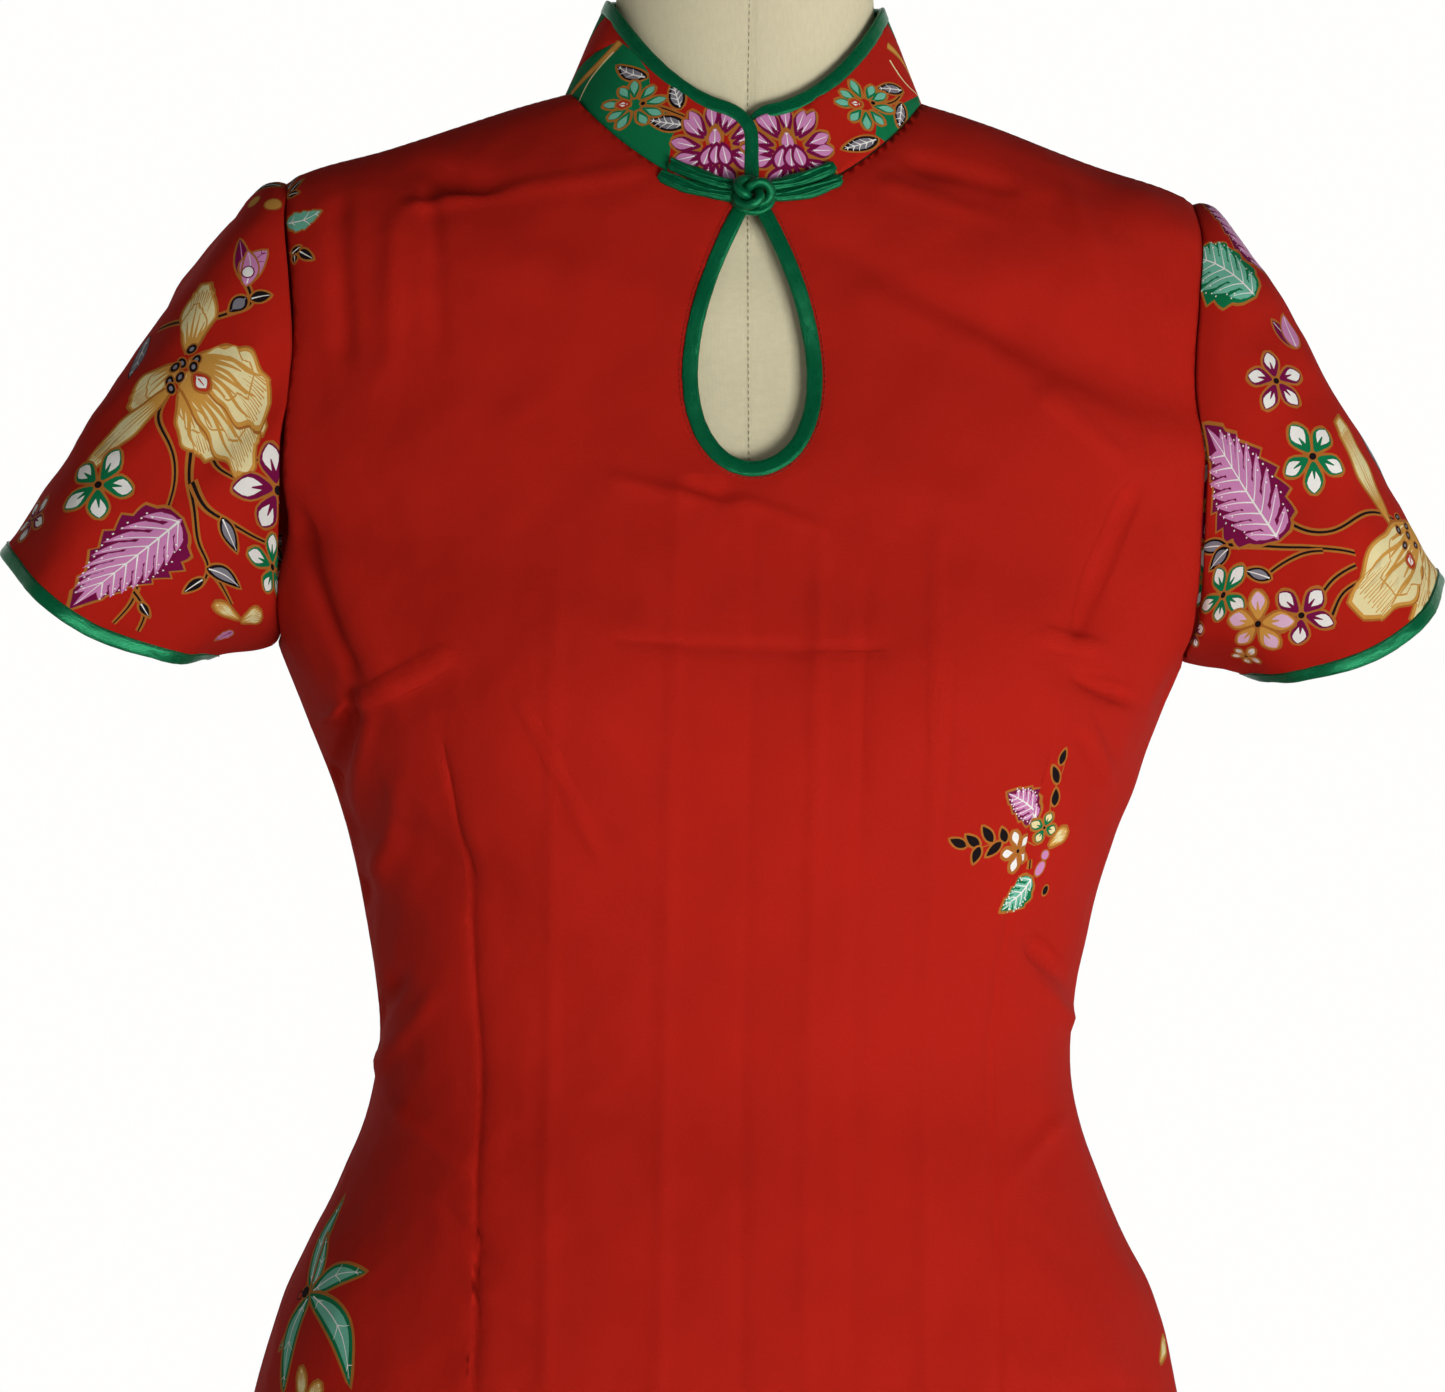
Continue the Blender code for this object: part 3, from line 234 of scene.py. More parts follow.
# x_from, z_from, x_to, z_to, rise, spread, share_from, share_to
largeFolds = {
    "front": (
        (0.050, 1.372, 0.180, 1.322, -0.0040, 0.014, 0.3, 1.0),
        (0.100, 1.322, 0.185, 1.306, 0.0032, 0.018, 0.5, 1.0),
        (-0.190, 1.262, -0.158, 1.258, -0.0042, 0.014, 1.0, 0.4),
        (-0.170, 1.240, -0.150, 1.195, 0.0024, 0.010, 1.0, 0.6),
        (-0.165, 1.182, -0.120, 1.197, -0.0032, 0.010, 0.9, 0.4),
        (-0.168, 1.138, -0.128, 1.122, -0.0046, 0.014, 0.8, 0.7),
        (-0.150, 1.095, -0.140, 1.070, -0.0030, 0.012, 0.9, 0.3),
        (0.145, 1.230, 0.168, 1.268, -0.0030, 0.010, 0.8, 0.8),
        (0.130, 1.205, 0.172, 1.196, -0.0026, 0.010, 0.6, 0.9),
        (0.135, 1.085, 0.152, 1.075, -0.0024, 0.010, 0.6, 0.8),
        (-0.130, 0.820, -0.136, 0.445, 0.0085, 0.034, 0.0, 1.0),
        (-0.050, 0.800, -0.056, 0.445, -0.0050, 0.040, 0.0, 1.0),
        (0.040, 0.780, 0.030, 0.445, 0.0065, 0.036, 0.0, 1.0),
        (0.118, 0.820, 0.112, 0.445, -0.0060, 0.030, 0.0, 1.0),
        (0.172, 0.840, 0.170, 0.445, 0.0050, 0.026, 0.0, 1.0),
    ),
    "back": (
        (-0.160, 1.250, -0.060, 1.300, -0.0036, 0.016, 1.0, 0.2),
        (0.165, 1.245, 0.070, 1.292, -0.0034, 0.015, 1.0, 0.2),
        (-0.130, 1.048, -0.030, 1.040, -0.0036, 0.013, 0.6, 0.9),
        (0.128, 1.062, 0.020, 1.068, -0.0032, 0.012, 0.7, 0.8),
        (-0.100, 1.015, 0.060, 1.008, 0.0030, 0.014, 0.5, 0.5),
        (-0.150, 0.820, -0.150, 0.445, 0.0070, 0.032, 0.0, 1.0),
        (-0.075, 0.780, -0.080, 0.445, -0.0070, 0.034, 0.0, 1.0),
        (0.005, 0.760, 0.000, 0.445, 0.0085, 0.036, 0.0, 1.0),
        (0.082, 0.790, 0.086, 0.445, -0.0065, 0.032, 0.0, 1.0),
        (0.155, 0.810, 0.152, 0.445, 0.0060, 0.030, 0.0, 1.0),
    ),
}

# The creases that are too fine for the solids, in the same columns
fineCreases = {
    "front": (
        (-0.080, 1.270, -0.080, 0.880, 0.00045, 0.0035, 0.4, 1.0),
        (-0.032, 1.280, -0.033, 0.890, 0.00050, 0.0040, 0.6, 0.9),
        (0.000, 1.262, 0.000, 0.880, -0.00045, 0.0030, 0.5, 1.0),
        (0.028, 1.262, 0.027, 0.900, 0.00050, 0.0040, 0.9, 0.6),
        (0.047, 1.240, 0.046, 0.880, -0.00045, 0.0045, 0.9, 0.5),
        (0.077, 1.260, 0.078, 0.880, 0.00055, 0.0045, 0.8, 0.9),
        (-0.054, 1.214, 0.050, 1.213, -0.00060, 0.0040, 0.7, 1.0),
        (-0.090, 1.188, -0.062, 1.130, 0.0006, 0.0032, 0.5, 0.9),
        (-0.054, 1.283, -0.030, 1.277, 0.0009, 0.0040, 0.6, 1.0),
        (-0.002, 1.274, 0.024, 1.265, 0.0009, 0.0040, 1.0, 0.5),
        (-0.022, 1.281, -0.014, 1.279, -0.0012, 0.0040, 1.0, 1.0),
        (0.036, 1.384, 0.101, 1.352, -0.0010, 0.0100, 0.6, 0.9),
        (0.055, 1.362, 0.140, 1.318, 0.0007, 0.0090, 0.4, 1.0),
        (0.127, 1.318, 0.150, 1.300, 0.0012, 0.0060, 1.0, 0.7),
        (-0.050, 1.413, -0.140, 1.399, 0.0011, 0.0045, 0.5, 1.0),
        (-0.126, 1.412, -0.116, 1.409, -0.0016, 0.0080, 1.0, 0.8),
        (-0.174, 1.395, -0.171, 1.340, -0.0014, 0.0065, 0.7, 0.8),
        (-0.150, 1.385, -0.151, 1.335, 0.0011, 0.0070, 0.8, 0.6),
        (-0.135, 1.400, -0.131, 1.345, -0.0012, 0.0060, 0.8, 0.5),
        (0.075, 1.420, 0.108, 1.412, -0.0013, 0.0050, 1.0, 0.6),
        (0.060, 1.410, 0.100, 1.398, 0.0010, 0.0060, 1.0, 0.5),
        (0.140, 1.400, 0.160, 1.345, 0.0012, 0.0080, 0.8, 0.6),
        (-0.187, 1.257, -0.164, 1.206, -0.0018, 0.0055, 0.8, 1.0),
        (-0.128, 1.206, -0.174, 1.181, 0.0017, 0.0045, 0.5, 1.0),
        (-0.165, 1.187, -0.1725, 1.146, -0.0024, 0.0046, 1.0, 0.7),
        (-0.1575, 1.178, -0.1645, 1.140, 0.0010, 0.0055, 1.0, 0.5),
        (-0.145, 1.150, -0.152, 1.120, 0.0014, 0.0070, 0.5, 1.0),
        (-0.160, 1.104, -0.164, 1.084, -0.0022, 0.0055, 1.0, 0.6),
        (-0.144, 1.066, -0.155, 1.042, -0.0018, 0.0050, 1.0, 0.7),
        (-0.130, 1.060, -0.148, 1.034, 0.0012, 0.0050, 0.6, 1.0),
        (-0.138, 1.012, -0.116, 0.995, 0.0011, 0.0050, 1.0, 0.4),
        (-0.118, 0.972, -0.108, 0.962, -0.0009, 0.0050, 1.0, 0.8),
        (-0.105, 0.943, -0.080, 0.926, 0.0010, 0.0060, 1.0, 0.4),
        (0.161, 1.279, 0.139, 1.228, -0.0020, 0.0060, 1.0, 0.8),
        (0.126, 1.219, 0.142, 1.217, 0.0013, 0.0045, 0.7, 1.0),
        (0.142, 1.202, 0.160, 1.197, -0.0018, 0.0045, 0.8, 1.0),
        (0.144, 1.178, 0.152, 1.166, 0.0014, 0.0055, 1.0, 0.8),
        (0.128, 1.088, 0.140, 1.078, -0.0016, 0.0045, 1.0, 0.8),
        (0.132, 1.070, 0.146, 1.058, 0.0011, 0.0045, 0.7, 1.0),
        (0.136, 1.010, 0.120, 0.996, 0.0010, 0.0060, 1.0, 0.4),
        (-0.090, 0.700, -0.094, 0.445, 0.0016, 0.0090, 0.1, 1.0),
        (0.075, 0.680, 0.070, 0.445, -0.0016, 0.0090, 0.1, 1.0),
        (-0.010, 0.640, -0.014, 0.445, 0.0014, 0.0080, 0.1, 1.0),
    ),
    "back": (
        (-0.085, 1.360, -0.090, 0.900, 0.00045, 0.0040, 0.4, 1.0),
        (-0.030, 1.380, -0.032, 0.900, -0.00045, 0.0040, 0.7, 0.9),
        (0.036, 1.370, 0.034, 0.900, 0.00050, 0.0045, 0.8, 0.7),
        (0.082, 1.340, 0.084, 0.900, -0.00045, 0.0040, 0.6, 0.9),
        (-0.080, 1.236, 0.070, 1.233, -0.00060, 0.0045, 0.8, 1.0),
        (-0.176, 1.290, -0.140, 1.340, -0.0018, 0.0070, 1.0, 0.5),
        (0.180, 1.295, 0.150, 1.350, -0.0017, 0.0070, 1.0, 0.4),
        (-0.165, 1.200, -0.110, 1.222, 0.0015, 0.0060, 1.0, 0.4),
        (0.168, 1.196, 0.118, 1.218, 0.0015, 0.0060, 1.0, 0.4),
        (-0.140, 1.115, -0.100, 1.097, -0.0018, 0.0060, 0.5, 0.7),
        (0.140, 1.108, 0.096, 1.091, -0.0017, 0.0065, 0.5, 0.7),
        (-0.120, 1.062, -0.070, 1.054, 0.0014, 0.0060, 0.4, 0.5),
        (0.118, 1.047, 0.060, 1.044, 0.0013, 0.0060, 0.4, 0.5),
        (-0.060, 1.030, 0.010, 1.026, -0.0014, 0.0060, 0.5, 0.8),
        (-0.060, 1.405, -0.150, 1.385, 0.0010, 0.0060, 0.5, 1.0),
        (0.060, 1.408, 0.150, 1.380, -0.0011, 0.0060, 0.5, 1.0),
        (0.045, 0.700, 0.044, 0.445, 0.0015, 0.0090, 0.1, 1.0),
        (-0.120, 0.690, -0.118, 0.445, -0.0015, 0.0090, 0.1, 1.0),
    ),
}


def runAlong(points):
    return np.concatenate([[0.0], np.cumsum(np.linalg.norm(np.diff(points, axis=0), axis=1))])


def secondSlopes(knots, rows):
    count = len(knots)
    step = np.diff(knots)
    matrix = np.eye(count)
    right = np.zeros_like(rows)
    for i in range(1, count - 1):
        matrix[i, i - 1 : i + 2] = (step[i - 1], 2 * (step[i - 1] + step[i]), step[i])
        right[i] = 6 * ((rows[i + 1] - rows[i]) / step[i] - (rows[i] - rows[i - 1]) / step[i - 1])
    return np.linalg.solve(matrix, right)


def makeSections(table):
    rows = np.array(table, float)
    side = rows[:, [1, 0]]
    front = np.column_stack([rows[:, 2], rows[:, 0] - rows[:, 5]])
    steps = [np.linalg.norm(np.diff(line, axis=0), axis=1) for line in (side, front)]
    knots = np.concatenate([[0.0], np.cumsum(sum(steps) / 2)])
    return {"rows": rows, "knots": knots, "slopes": secondSlopes(knots, rows)}


def sectionAt(sections, run):
    knots, rows, slopes = sections["knots"], sections["rows"], sections["slopes"]
    run = np.clip(np.asarray(run, float), knots[0], knots[-1])
    i = np.clip(np.searchsorted(knots, run, side="right") - 1, 0, len(knots) - 2)
    width = knots[i + 1] - knots[i]
    a = ((knots[i + 1] - run) / width)[..., None]
    b = 1 - a
    width = width[..., None]
    bend = ((a**3 - a) * slopes[i] + (b**3 - b) * slopes[i + 1]) * width**2 / 6
    return a * rows[i] + b * rows[i + 1] + bend


def ringPoint(values, angle):  # angle 0 is the centre front and half a turn the centre back
    height, halfWidth, front, back, square, frontDip, backDip = np.moveaxis(values, -1, 0)
    cosine, sine = np.cos(angle), np.sin(angle)
    depth = np.where(cosine > 0, front, back)
    dip = np.where(cosine > 0, frontDip, backDip)
    x = halfWidth * np.sign(sine) * np.abs(sine) ** (2 / square)
    y = -np.sign(cosine) * depth * np.abs(cosine) ** (2 / square)
    return np.stack([x, y, height - dip * cosine**2], axis=-1)


def girthTable(sections):
    runs = np.linspace(0, sections["knots"][-1], 240)
    values = sectionAt(sections, runs)
    share = np.linspace(0, 1, 121)
    table = {"runs": runs, "share": share}
    for side, start in (("front", 0.0), ("back", math.pi)):
        angles = np.linspace(start, math.pi / 2, 400)
        points = ringPoint(values[:, None, :], angles[None, :])
        steps = np.linalg.norm(np.diff(points, axis=1), axis=2)
        length = np.concatenate([np.zeros((len(runs), 1)), np.cumsum(steps, axis=1)], axis=1)
        table[side, "girth"] = length[:, -1]
        table[side, "angle"] = np.array([np.interp(share, line / line[-1], angles) for line in length])
    return table


dress = makeSections(dressSections)
dressGirth = girthTable(dress)
runTop = dress["knots"][-1]


def quarterGirth(side, run):
    return np.interp(run, dressGirth["runs"], dressGirth[side, "girth"])


def runAtHeight(height):
    return np.interp(height, sectionAt(dress, dressGirth["runs"])[:, 0], dressGirth["runs"])


def plainPoint(side, across, run):
    across, run = np.broadcast_arrays(np.asarray(across, float), np.asarray(run, float))
    share = np.clip(np.abs(across) / quarterGirth(side, run), 0, 1)
    table = dressGirth[side, "angle"]
    row = np.interp(run, dressGirth["runs"], np.arange(len(table)))
    column = share * (table.shape[1] - 1)
    i = np.minimum(row.astype(int), len(table) - 2)
    j = np.minimum(column.astype(int), table.shape[1] - 2)
    p, q = row - i, column - j
    angle = (1 - p) * ((1 - q) * table[i, j] + q * table[i, j + 1])
    angle = angle + p * ((1 - q) * table[i + 1, j] + q * table[i + 1, j + 1])
    point = ringPoint(sectionAt(dress, run), angle)
    point[..., 0] *= np.where(across < 0, -1.0, 1.0)
    return point


def smoothStep(x):
    x = np.clip(x, 0, 1)
    return x * x * (3 - 2 * x)


def unit(vectors):
    return vectors / np.linalg.norm(vectors, axis=-1, keepdims=True)


def unevenness(points, scale, seed):  # smooth and near -1 to 1, from a few crossing waves
    chance = np.random.default_rng(seed)
    total = np.zeros(points.shape[:-1])
    for _ in range(10):
        way = unit(chance.normal(size=3))
        rate = 2 * math.pi / scale * chance.uniform(0.6, 1.5)
        total += np.sin(points @ way * rate + chance.uniform(0, 2 * math.pi))
    return total / 4


dartShape = {
    "groove": 0.0010,
    "flank": 0.0017,
    "lift": 0.0004,
    "front": ((1.186, 0.130), (1.110, 0.119), (1.040, 0.113), (0.940, 0.112), (0.845, 0.112)),
    "back": ((1.205, 0.084), (1.110, 0.080), (1.040, 0.078), (0.940, 0.082), (0.865, 0.084)),
}
clothShape = {
    "thick": 0.0009,
    "seamFade": 0.022,
    "seamRoll": 0.0011,
    "seamRollWidth": 0.0030,
    "creaseFade": 0.009,
    "creaseDepth": 2.1,
    "creaseSpread": 0.70,
    "waves": ((0.110, 0.0016, 1), (0.045, 0.0007, 2), (0.017, 0.00018, 3)),
}


def dartPlace(side, height):
    table = dartShape[side]
    return np.interp(height, [row[0] for row in table][::-1], [row[1] for row in table][::-1])


def foldAlone(x, z, x0, z0, x1, z1, height, spread, share0, share1):
    length = math.hypot(x1 - x0, z1 - z0)
    along = ((x - x0) * (x1 - x0) + (z - z0) * (z1 - z0)) / length
    off = np.abs((x - x0) * (z1 - z0) - (z - z0) * (x1 - x0)) / length
    beyond = np.maximum(np.maximum(-along, along - length), 0)
    strength = share0 + (share1 - share0) * np.clip(along / length, 0, 1)
    return height * strength * np.exp(-((off / spread) ** 2) - (beyond / (spread * 2)) ** 2)


def foldRise(side, point, across, reach):
    x, z = point[..., 0], point[..., 2]
    rise, fine = np.zeros(x.shape), np.zeros(x.shape)
    if side == "front":
        for centreX, centreZ, height, spreadX, spreadZ in bustMounds:
            rise += height * np.exp(-(((x - centreX) / spreadX) ** 2) - ((z - centreZ) / spreadZ) ** 2)
    for fold in largeFolds[side]:
        rise += foldAlone(x, z, *fold)
    for *ends, height, spread, share0, share1 in fineCreases[side]:
        height, spread = height * clothShape["creaseDepth"], spread * clothShape["creaseSpread"]
        fine += foldAlone(x, z, *ends, height, spread, share0, share1)
    for scale, height, seed in clothShape["waves"]:
        rise += height * unevenness(point, scale, seed)
    table = dartShape[side]
    gap = np.abs(across) - dartPlace(side, z)
    inside = smoothStep(np.minimum(z - table[-1][0], table[0][0] - z) / 0.03)
    rise -= dartShape["groove"] * np.exp(-((gap / dartShape["flank"]) ** 2)) * inside
    rise += dartShape["lift"] * np.exp(-(((gap + 0.007) / 0.005) ** 2)) * inside
    gap = reach - np.abs(across)
    fine *= smoothStep(gap / clothShape["creaseFade"])
    return rise * smoothStep(gap / clothShape["seamFade"]) + fine


def clothPoint(side, across, run, lift=0.0):  # the worn cloth and its outward normals
    across, run = np.broadcast_arrays(np.asarray(across, float), np.asarray(run, float))
    step = 0.001

    def raised(a, r):
        reach = quarterGirth(side, r)
        a, r = np.clip(a, -reach, reach), np.clip(r, 0, runTop)
        base = plainPoint(side, a, r)
        ahead = plainPoint(side, a + step, r) - plainPoint(side, a - step, r)
        up = plainPoint(side, a, r + step) - plainPoint(side, a, r - step)
        out = unit(np.cross(ahead, up) if side == "front" else np.cross(up, ahead))
        return base + out * foldRise(side, base, a, reach)[..., None]

    ahead = raised(across + step, run) - raised(across - step, run)
    up = raised(across, run + step) - raised(across, run - step)
    normal = unit(np.cross(ahead, up) if side == "front" else np.cross(up, ahead))
    base = plainPoint(side, across, run)
    rise = foldRise(side, base, across, quarterGirth(side, run)) + lift
    return base + normal * np.asarray(rise)[..., None], normal


# Flat outlines of the pieces
armholeShape = {
    "bottom": 1.212,
    "front": 0.054,
    "back": 0.060,
    "lowFullness": 0.15,
    "roundness": 0.80,
    "steps": 136,
}


def armholePlace(turn):  # side, distance across and run; a turn of 0 is on top
    middle = (shoulderHeight + armholeShape["bottom"]) / 2
    half = (shoulderHeight - armholeShape["bottom"]) / 2
    side = "front" if math.sin(turn) >= -1e-9 else "back"
    depth = armholeShape[side] * abs(math.sin(turn)) ** armholeShape["roundness"]
    depth *= 1 - armholeShape["lowFullness"] * math.cos(turn)
    height = middle + half * math.cos(turn)
    low, high = runAtHeight(1.15), runAtHeight(shoulderHeight + 0.010)
    for _ in range(30):
        run = (low + high) / 2
        values = sectionAt(dress, run)
        reach, square = values[2 if side == "front" else 3], values[4]
        dip = values[5 if side == "front" else 6]
        cosine = min(depth / reach, 1.0) ** (square / 2)
        if values[0] - dip * cosine**2 < height:
            low = run
        else:
            high = run
    angle = math.acos(cosine)
    if side == "back":
        angle = math.pi - angle
    row = int(round(np.interp(run, dressGirth["runs"], np.arange(240))))
    angles = dressGirth[side, "angle"][row]
    order = np.argsort(angles)
    share = np.interp(angle, angles[order], dressGirth["share"][order])
    return side, float(share * quarterGirth(side, run)), float(run)


armholeTurns = np.linspace(0, 2 * math.pi, armholeShape["steps"], endpoint=False)
armhole = [armholePlace(turn) for turn in armholeTurns]


def armholeLine(side):
    half = armholeShape["steps"] // 2
    chosen = armhole[half::-1] if side == "front" else armhole[half:] + armhole[:1]
    line = [(across, run) for _, across, run in chosen]
    for end in (0, -1):
        line[end] = (float(quarterGirth(side, line[end][1])), line[end][1])
    return np.array(line)


def sideSeam(side, runFrom, runTo, spacing, slit):
    runs = np.linspace(runFrom, runTo, max(2, int((runTo - runFrom) / spacing)))
    height = sectionAt(dress, runs)[:, 0]
    opening = slitSpread * np.clip((hemHeight + slitHeight - height) / slitHeight, 0, 1)
    across = quarterGirth(side, runs) - (opening / 2 if slit else 0)
    return np.column_stack([across, runs])


def mirrored(points):
    return np.column_stack([-points[::-1, 0], points[::-1, 1]])


def frontRunAt(distance):
    points = plainPoint("front", np.zeros(240), dressGirth["runs"])
    return np.interp(distance, runAlong(points[::-1]), dressGirth["runs"][::-1])


keyhole = {
    "slit": 0.006,
    "length": 0.113,
    "fullWidth": 0.0292,
    "steps": 90,
    "binding": 0.0068,
    "roll": 0.0005,
    "rollWidth": 0.0022,
}


def keyholeEdge(outset):  # right half, neckline to lowest point: distances across and down
    turns = np.linspace(0.30, math.pi, keyhole["steps"])
    half = keyhole["fullWidth"] * np.sin(turns) * np.sin(turns / 2)
    down = keyhole["slit"] + keyhole["length"] * (1 - np.cos(turns)) / 2
    slit = np.linspace(0, keyhole["slit"] * 0.8, 4)
    line = np.column_stack([np.append(np.zeros(4), half), np.append(slit, down)])
    line[:, 0] += seamGap
    tangent = np.gradient(line, axis=0)
    tangent[-1] = (-1, 0)
    tangent[0] = (0, 1)
    tangent = unit(tangent)
    moved = line + outset * np.column_stack([tangent[:, 1], -tangent[:, 0]])
    moved[-1, 0] = 0.0
    moved[0, 1] = 0.0
    return moved


def panelOutline(side, spacing):
    hemWidth = float(sideSeam(side, 0, 0.002, 0.001, True)[0, 0])
    hem = np.linspace(0, hemWidth, int(hemWidth / spacing))[1:-1]
    hem = np.column_stack([hem, np.zeros(len(hem))])
    hole = armholeLine(side)
    seam = sideSeam(side, 0, hole[0, 1] - 0.002, spacing, True)
    shoulder = sideSeam(side, hole[-1, 1] + 0.002, runTop, spacing, False)
    neck = np.linspace(shoulder[-1, 0], 0, 24)[1:]
    neck = np.column_stack([neck, np.full(len(neck), runTop)])
    right = np.concatenate([hem, seam, hole, shoulder, neck])
    if side == "front":
        edge = keyholeEdge(keyhole["binding"] * 0.72)
        edge = np.column_stack([edge[:, 0], frontRunAt(edge[:, 1])])
        beyond = (right[:, 1] > runTop - 0.001) & (right[:, 0] < edge[0, 0] + 0.002)
        right = np.concatenate([right[~beyond], edge])
    return np.concatenate([[(0.0, 0.0)], right, mirrored(right[:-1])])


def insideOutline(points, outline):
    x, y = points[:, 0], points[:, 1]
    ends = np.roll(outline, -1, axis=0)
    inside = np.zeros(len(points), bool)
    for (x0, y0), (x1, y1) in zip(outline, ends):
        crosses = (y0 > y) != (y1 > y)
        inside ^= crosses & (x < x0 + (y - y0) * (x1 - x0) / ((y1 - y0) or 1e-12))
    return inside


# Printed marks: shapes drawn in real size on the flat of a piece
def asSeen(points):  # millimetres from the centre line and above the floor, as in the photo
    across, above, ahead = view["axes"]
    local = points - np.array(view["camera"])
    scale = view["lens"] / 36 * view["pictureWidth"] / (local @ ahead)
    return np.column_stack([local @ across * scale - view["centreShift"],
                            local @ above * scale + view["middleHeight"]])


def surfaceFinder(place, us, vs):  # finds places of a piece as seen from the front or back
    gridU, gridV = np.meshgrid(us, vs)
    points, normals = place(gridU.ravel(), gridV.ravel())
    seen = {"front": asSeen(points), "back": points[:, [0, 2]] * (-1000, 1000)}
    trees = {}
    for facing, sign in (("front", -1), ("back", 1)):
        chosen = np.flatnonzero(normals[:, 1] * sign > 0.01)
        tree = KDTree(len(chosen))
        for k in chosen:
            tree.insert((*seen[facing][k], 0), int(k))
        tree.balance()
        trees[facing] = tree
    flat = np.column_stack([gridU.ravel(), gridV.ravel()])
    return {"place": place, "trees": trees, "flat": flat, "normals": normals}


def spot(surface, x, z, facing="front"):  # flat place of a point seen at x and z in millimetres
    _, index, _ = surface["trees"][facing].find((x, z, 0))
    return surface["flat"][index].copy(), surface["normals"][index]


def localScale(surface, flat, normal):  # turns real distances to the right and up into flat ones
    step = 0.0015
    flat = flat * 0.985
    u = np.array([flat[0] + step, flat[0] - step, flat[0], flat[0]])
    v = np.array([flat[1], flat[1], flat[1] + step, flat[1] - step])
    points, _ = surface["place"](u, v)
    alongU, alongV = (points[0] - points[1]) / (2 * step), (points[2] - points[3]) / (2 * step)
    sign = 1.0 if normal[1] < 0 else -1.0
    right = np.array([sign, 0, 0]) - normal * normal[0] * sign
    right = unit(right)
    up = np.cross(normal, right)
    matrix = np.array([[alongU @ right, alongV @ right], [alongU @ up, alongV @ up]])
    return np.clip(np.linalg.inv(matrix), -2.4, 2.4)


def curve(points, steps):  # a smooth line through a few points
    points = np.asarray(points, float)
    if len(points) < 3:
        share = np.linspace(0, 1, steps)[:, None]
        return points[0] + (points[-1] - points[0]) * share
    knots = np.concatenate([[0], np.cumsum(np.linalg.norm(np.diff(points, axis=0), axis=1) ** 0.7)])
    slopes = secondSlopes(knots, points)
    at = np.linspace(0, knots[-1], steps)
    i = np.clip(np.searchsorted(knots, at, side="right") - 1, 0, len(knots) - 2)
    width = knots[i + 1] - knots[i]
    a = ((knots[i + 1] - at) / width)[:, None]
    b = 1 - a
    bend = ((a**3 - a) * slopes[i] + (b**3 - b) * slopes[i + 1]) * (width**2)[:, None] / 6
    return a * points[i] + b * points[i + 1] + bend


def ribbonShape(line, widths):  # outline of a band along a line
    tangent = unit(np.gradient(line, axis=0))
    side = np.column_stack([-tangent[:, 1], tangent[:, 0]]) * np.asarray(widths)[:, None] / 2
    return np.concatenate([line + side, (line - side)[::-1]])


def leafShape(length, width, bend=0.0, teeth=0, grow=0.0, steps=14):  # pointed, along +x
    share = np.linspace(0, 1, max(steps, teeth * 4 + 1))
    half = width / 2 * np.sin(math.pi * share ** (0.82 if teeth < 3 else 0.68)) ** 0.85
    if teeth:
        half *= 1.06 - 0.26 * ((share * teeth) % 1.0)
    x = -grow + share * (length + 2 * grow)
    y = bend * length * np.sin(math.pi * share)
    upper = np.column_stack([x, y + half + grow])
    lower = np.column_stack([x, y - half - grow])
    return np.concatenate([upper[1:-1], [(x[-1] + grow * 0.6, 0)], lower[-2:0:-1], [(x[0], 0)]])


def petalShape(length, width, fullness=0.62, grow=0.0, steps=18):  # along +x, widest at its fullness
    turns = np.linspace(0, 2 * math.pi, steps, endpoint=False)
    share = (1 - np.cos(turns)) / 2
    x = share * length
    half = width / 2 * np.sin(turns) * (0.45 + 0.55 * np.exp(-(((share - fullness) / 0.42) ** 2)))
    x = x + grow * np.where(share > 0.5, 1, -1) * np.abs(np.cos(turns))
    return np.column_stack([x, half + np.sign(np.sin(turns)) * grow])


def turnedBy(shape, degrees, move=(0, 0)):
    c, s = math.cos(math.radians(degrees)), math.sin(math.radians(degrees))
    return shape @ np.array([[c, s], [-s, c]]) + np.asarray(move)


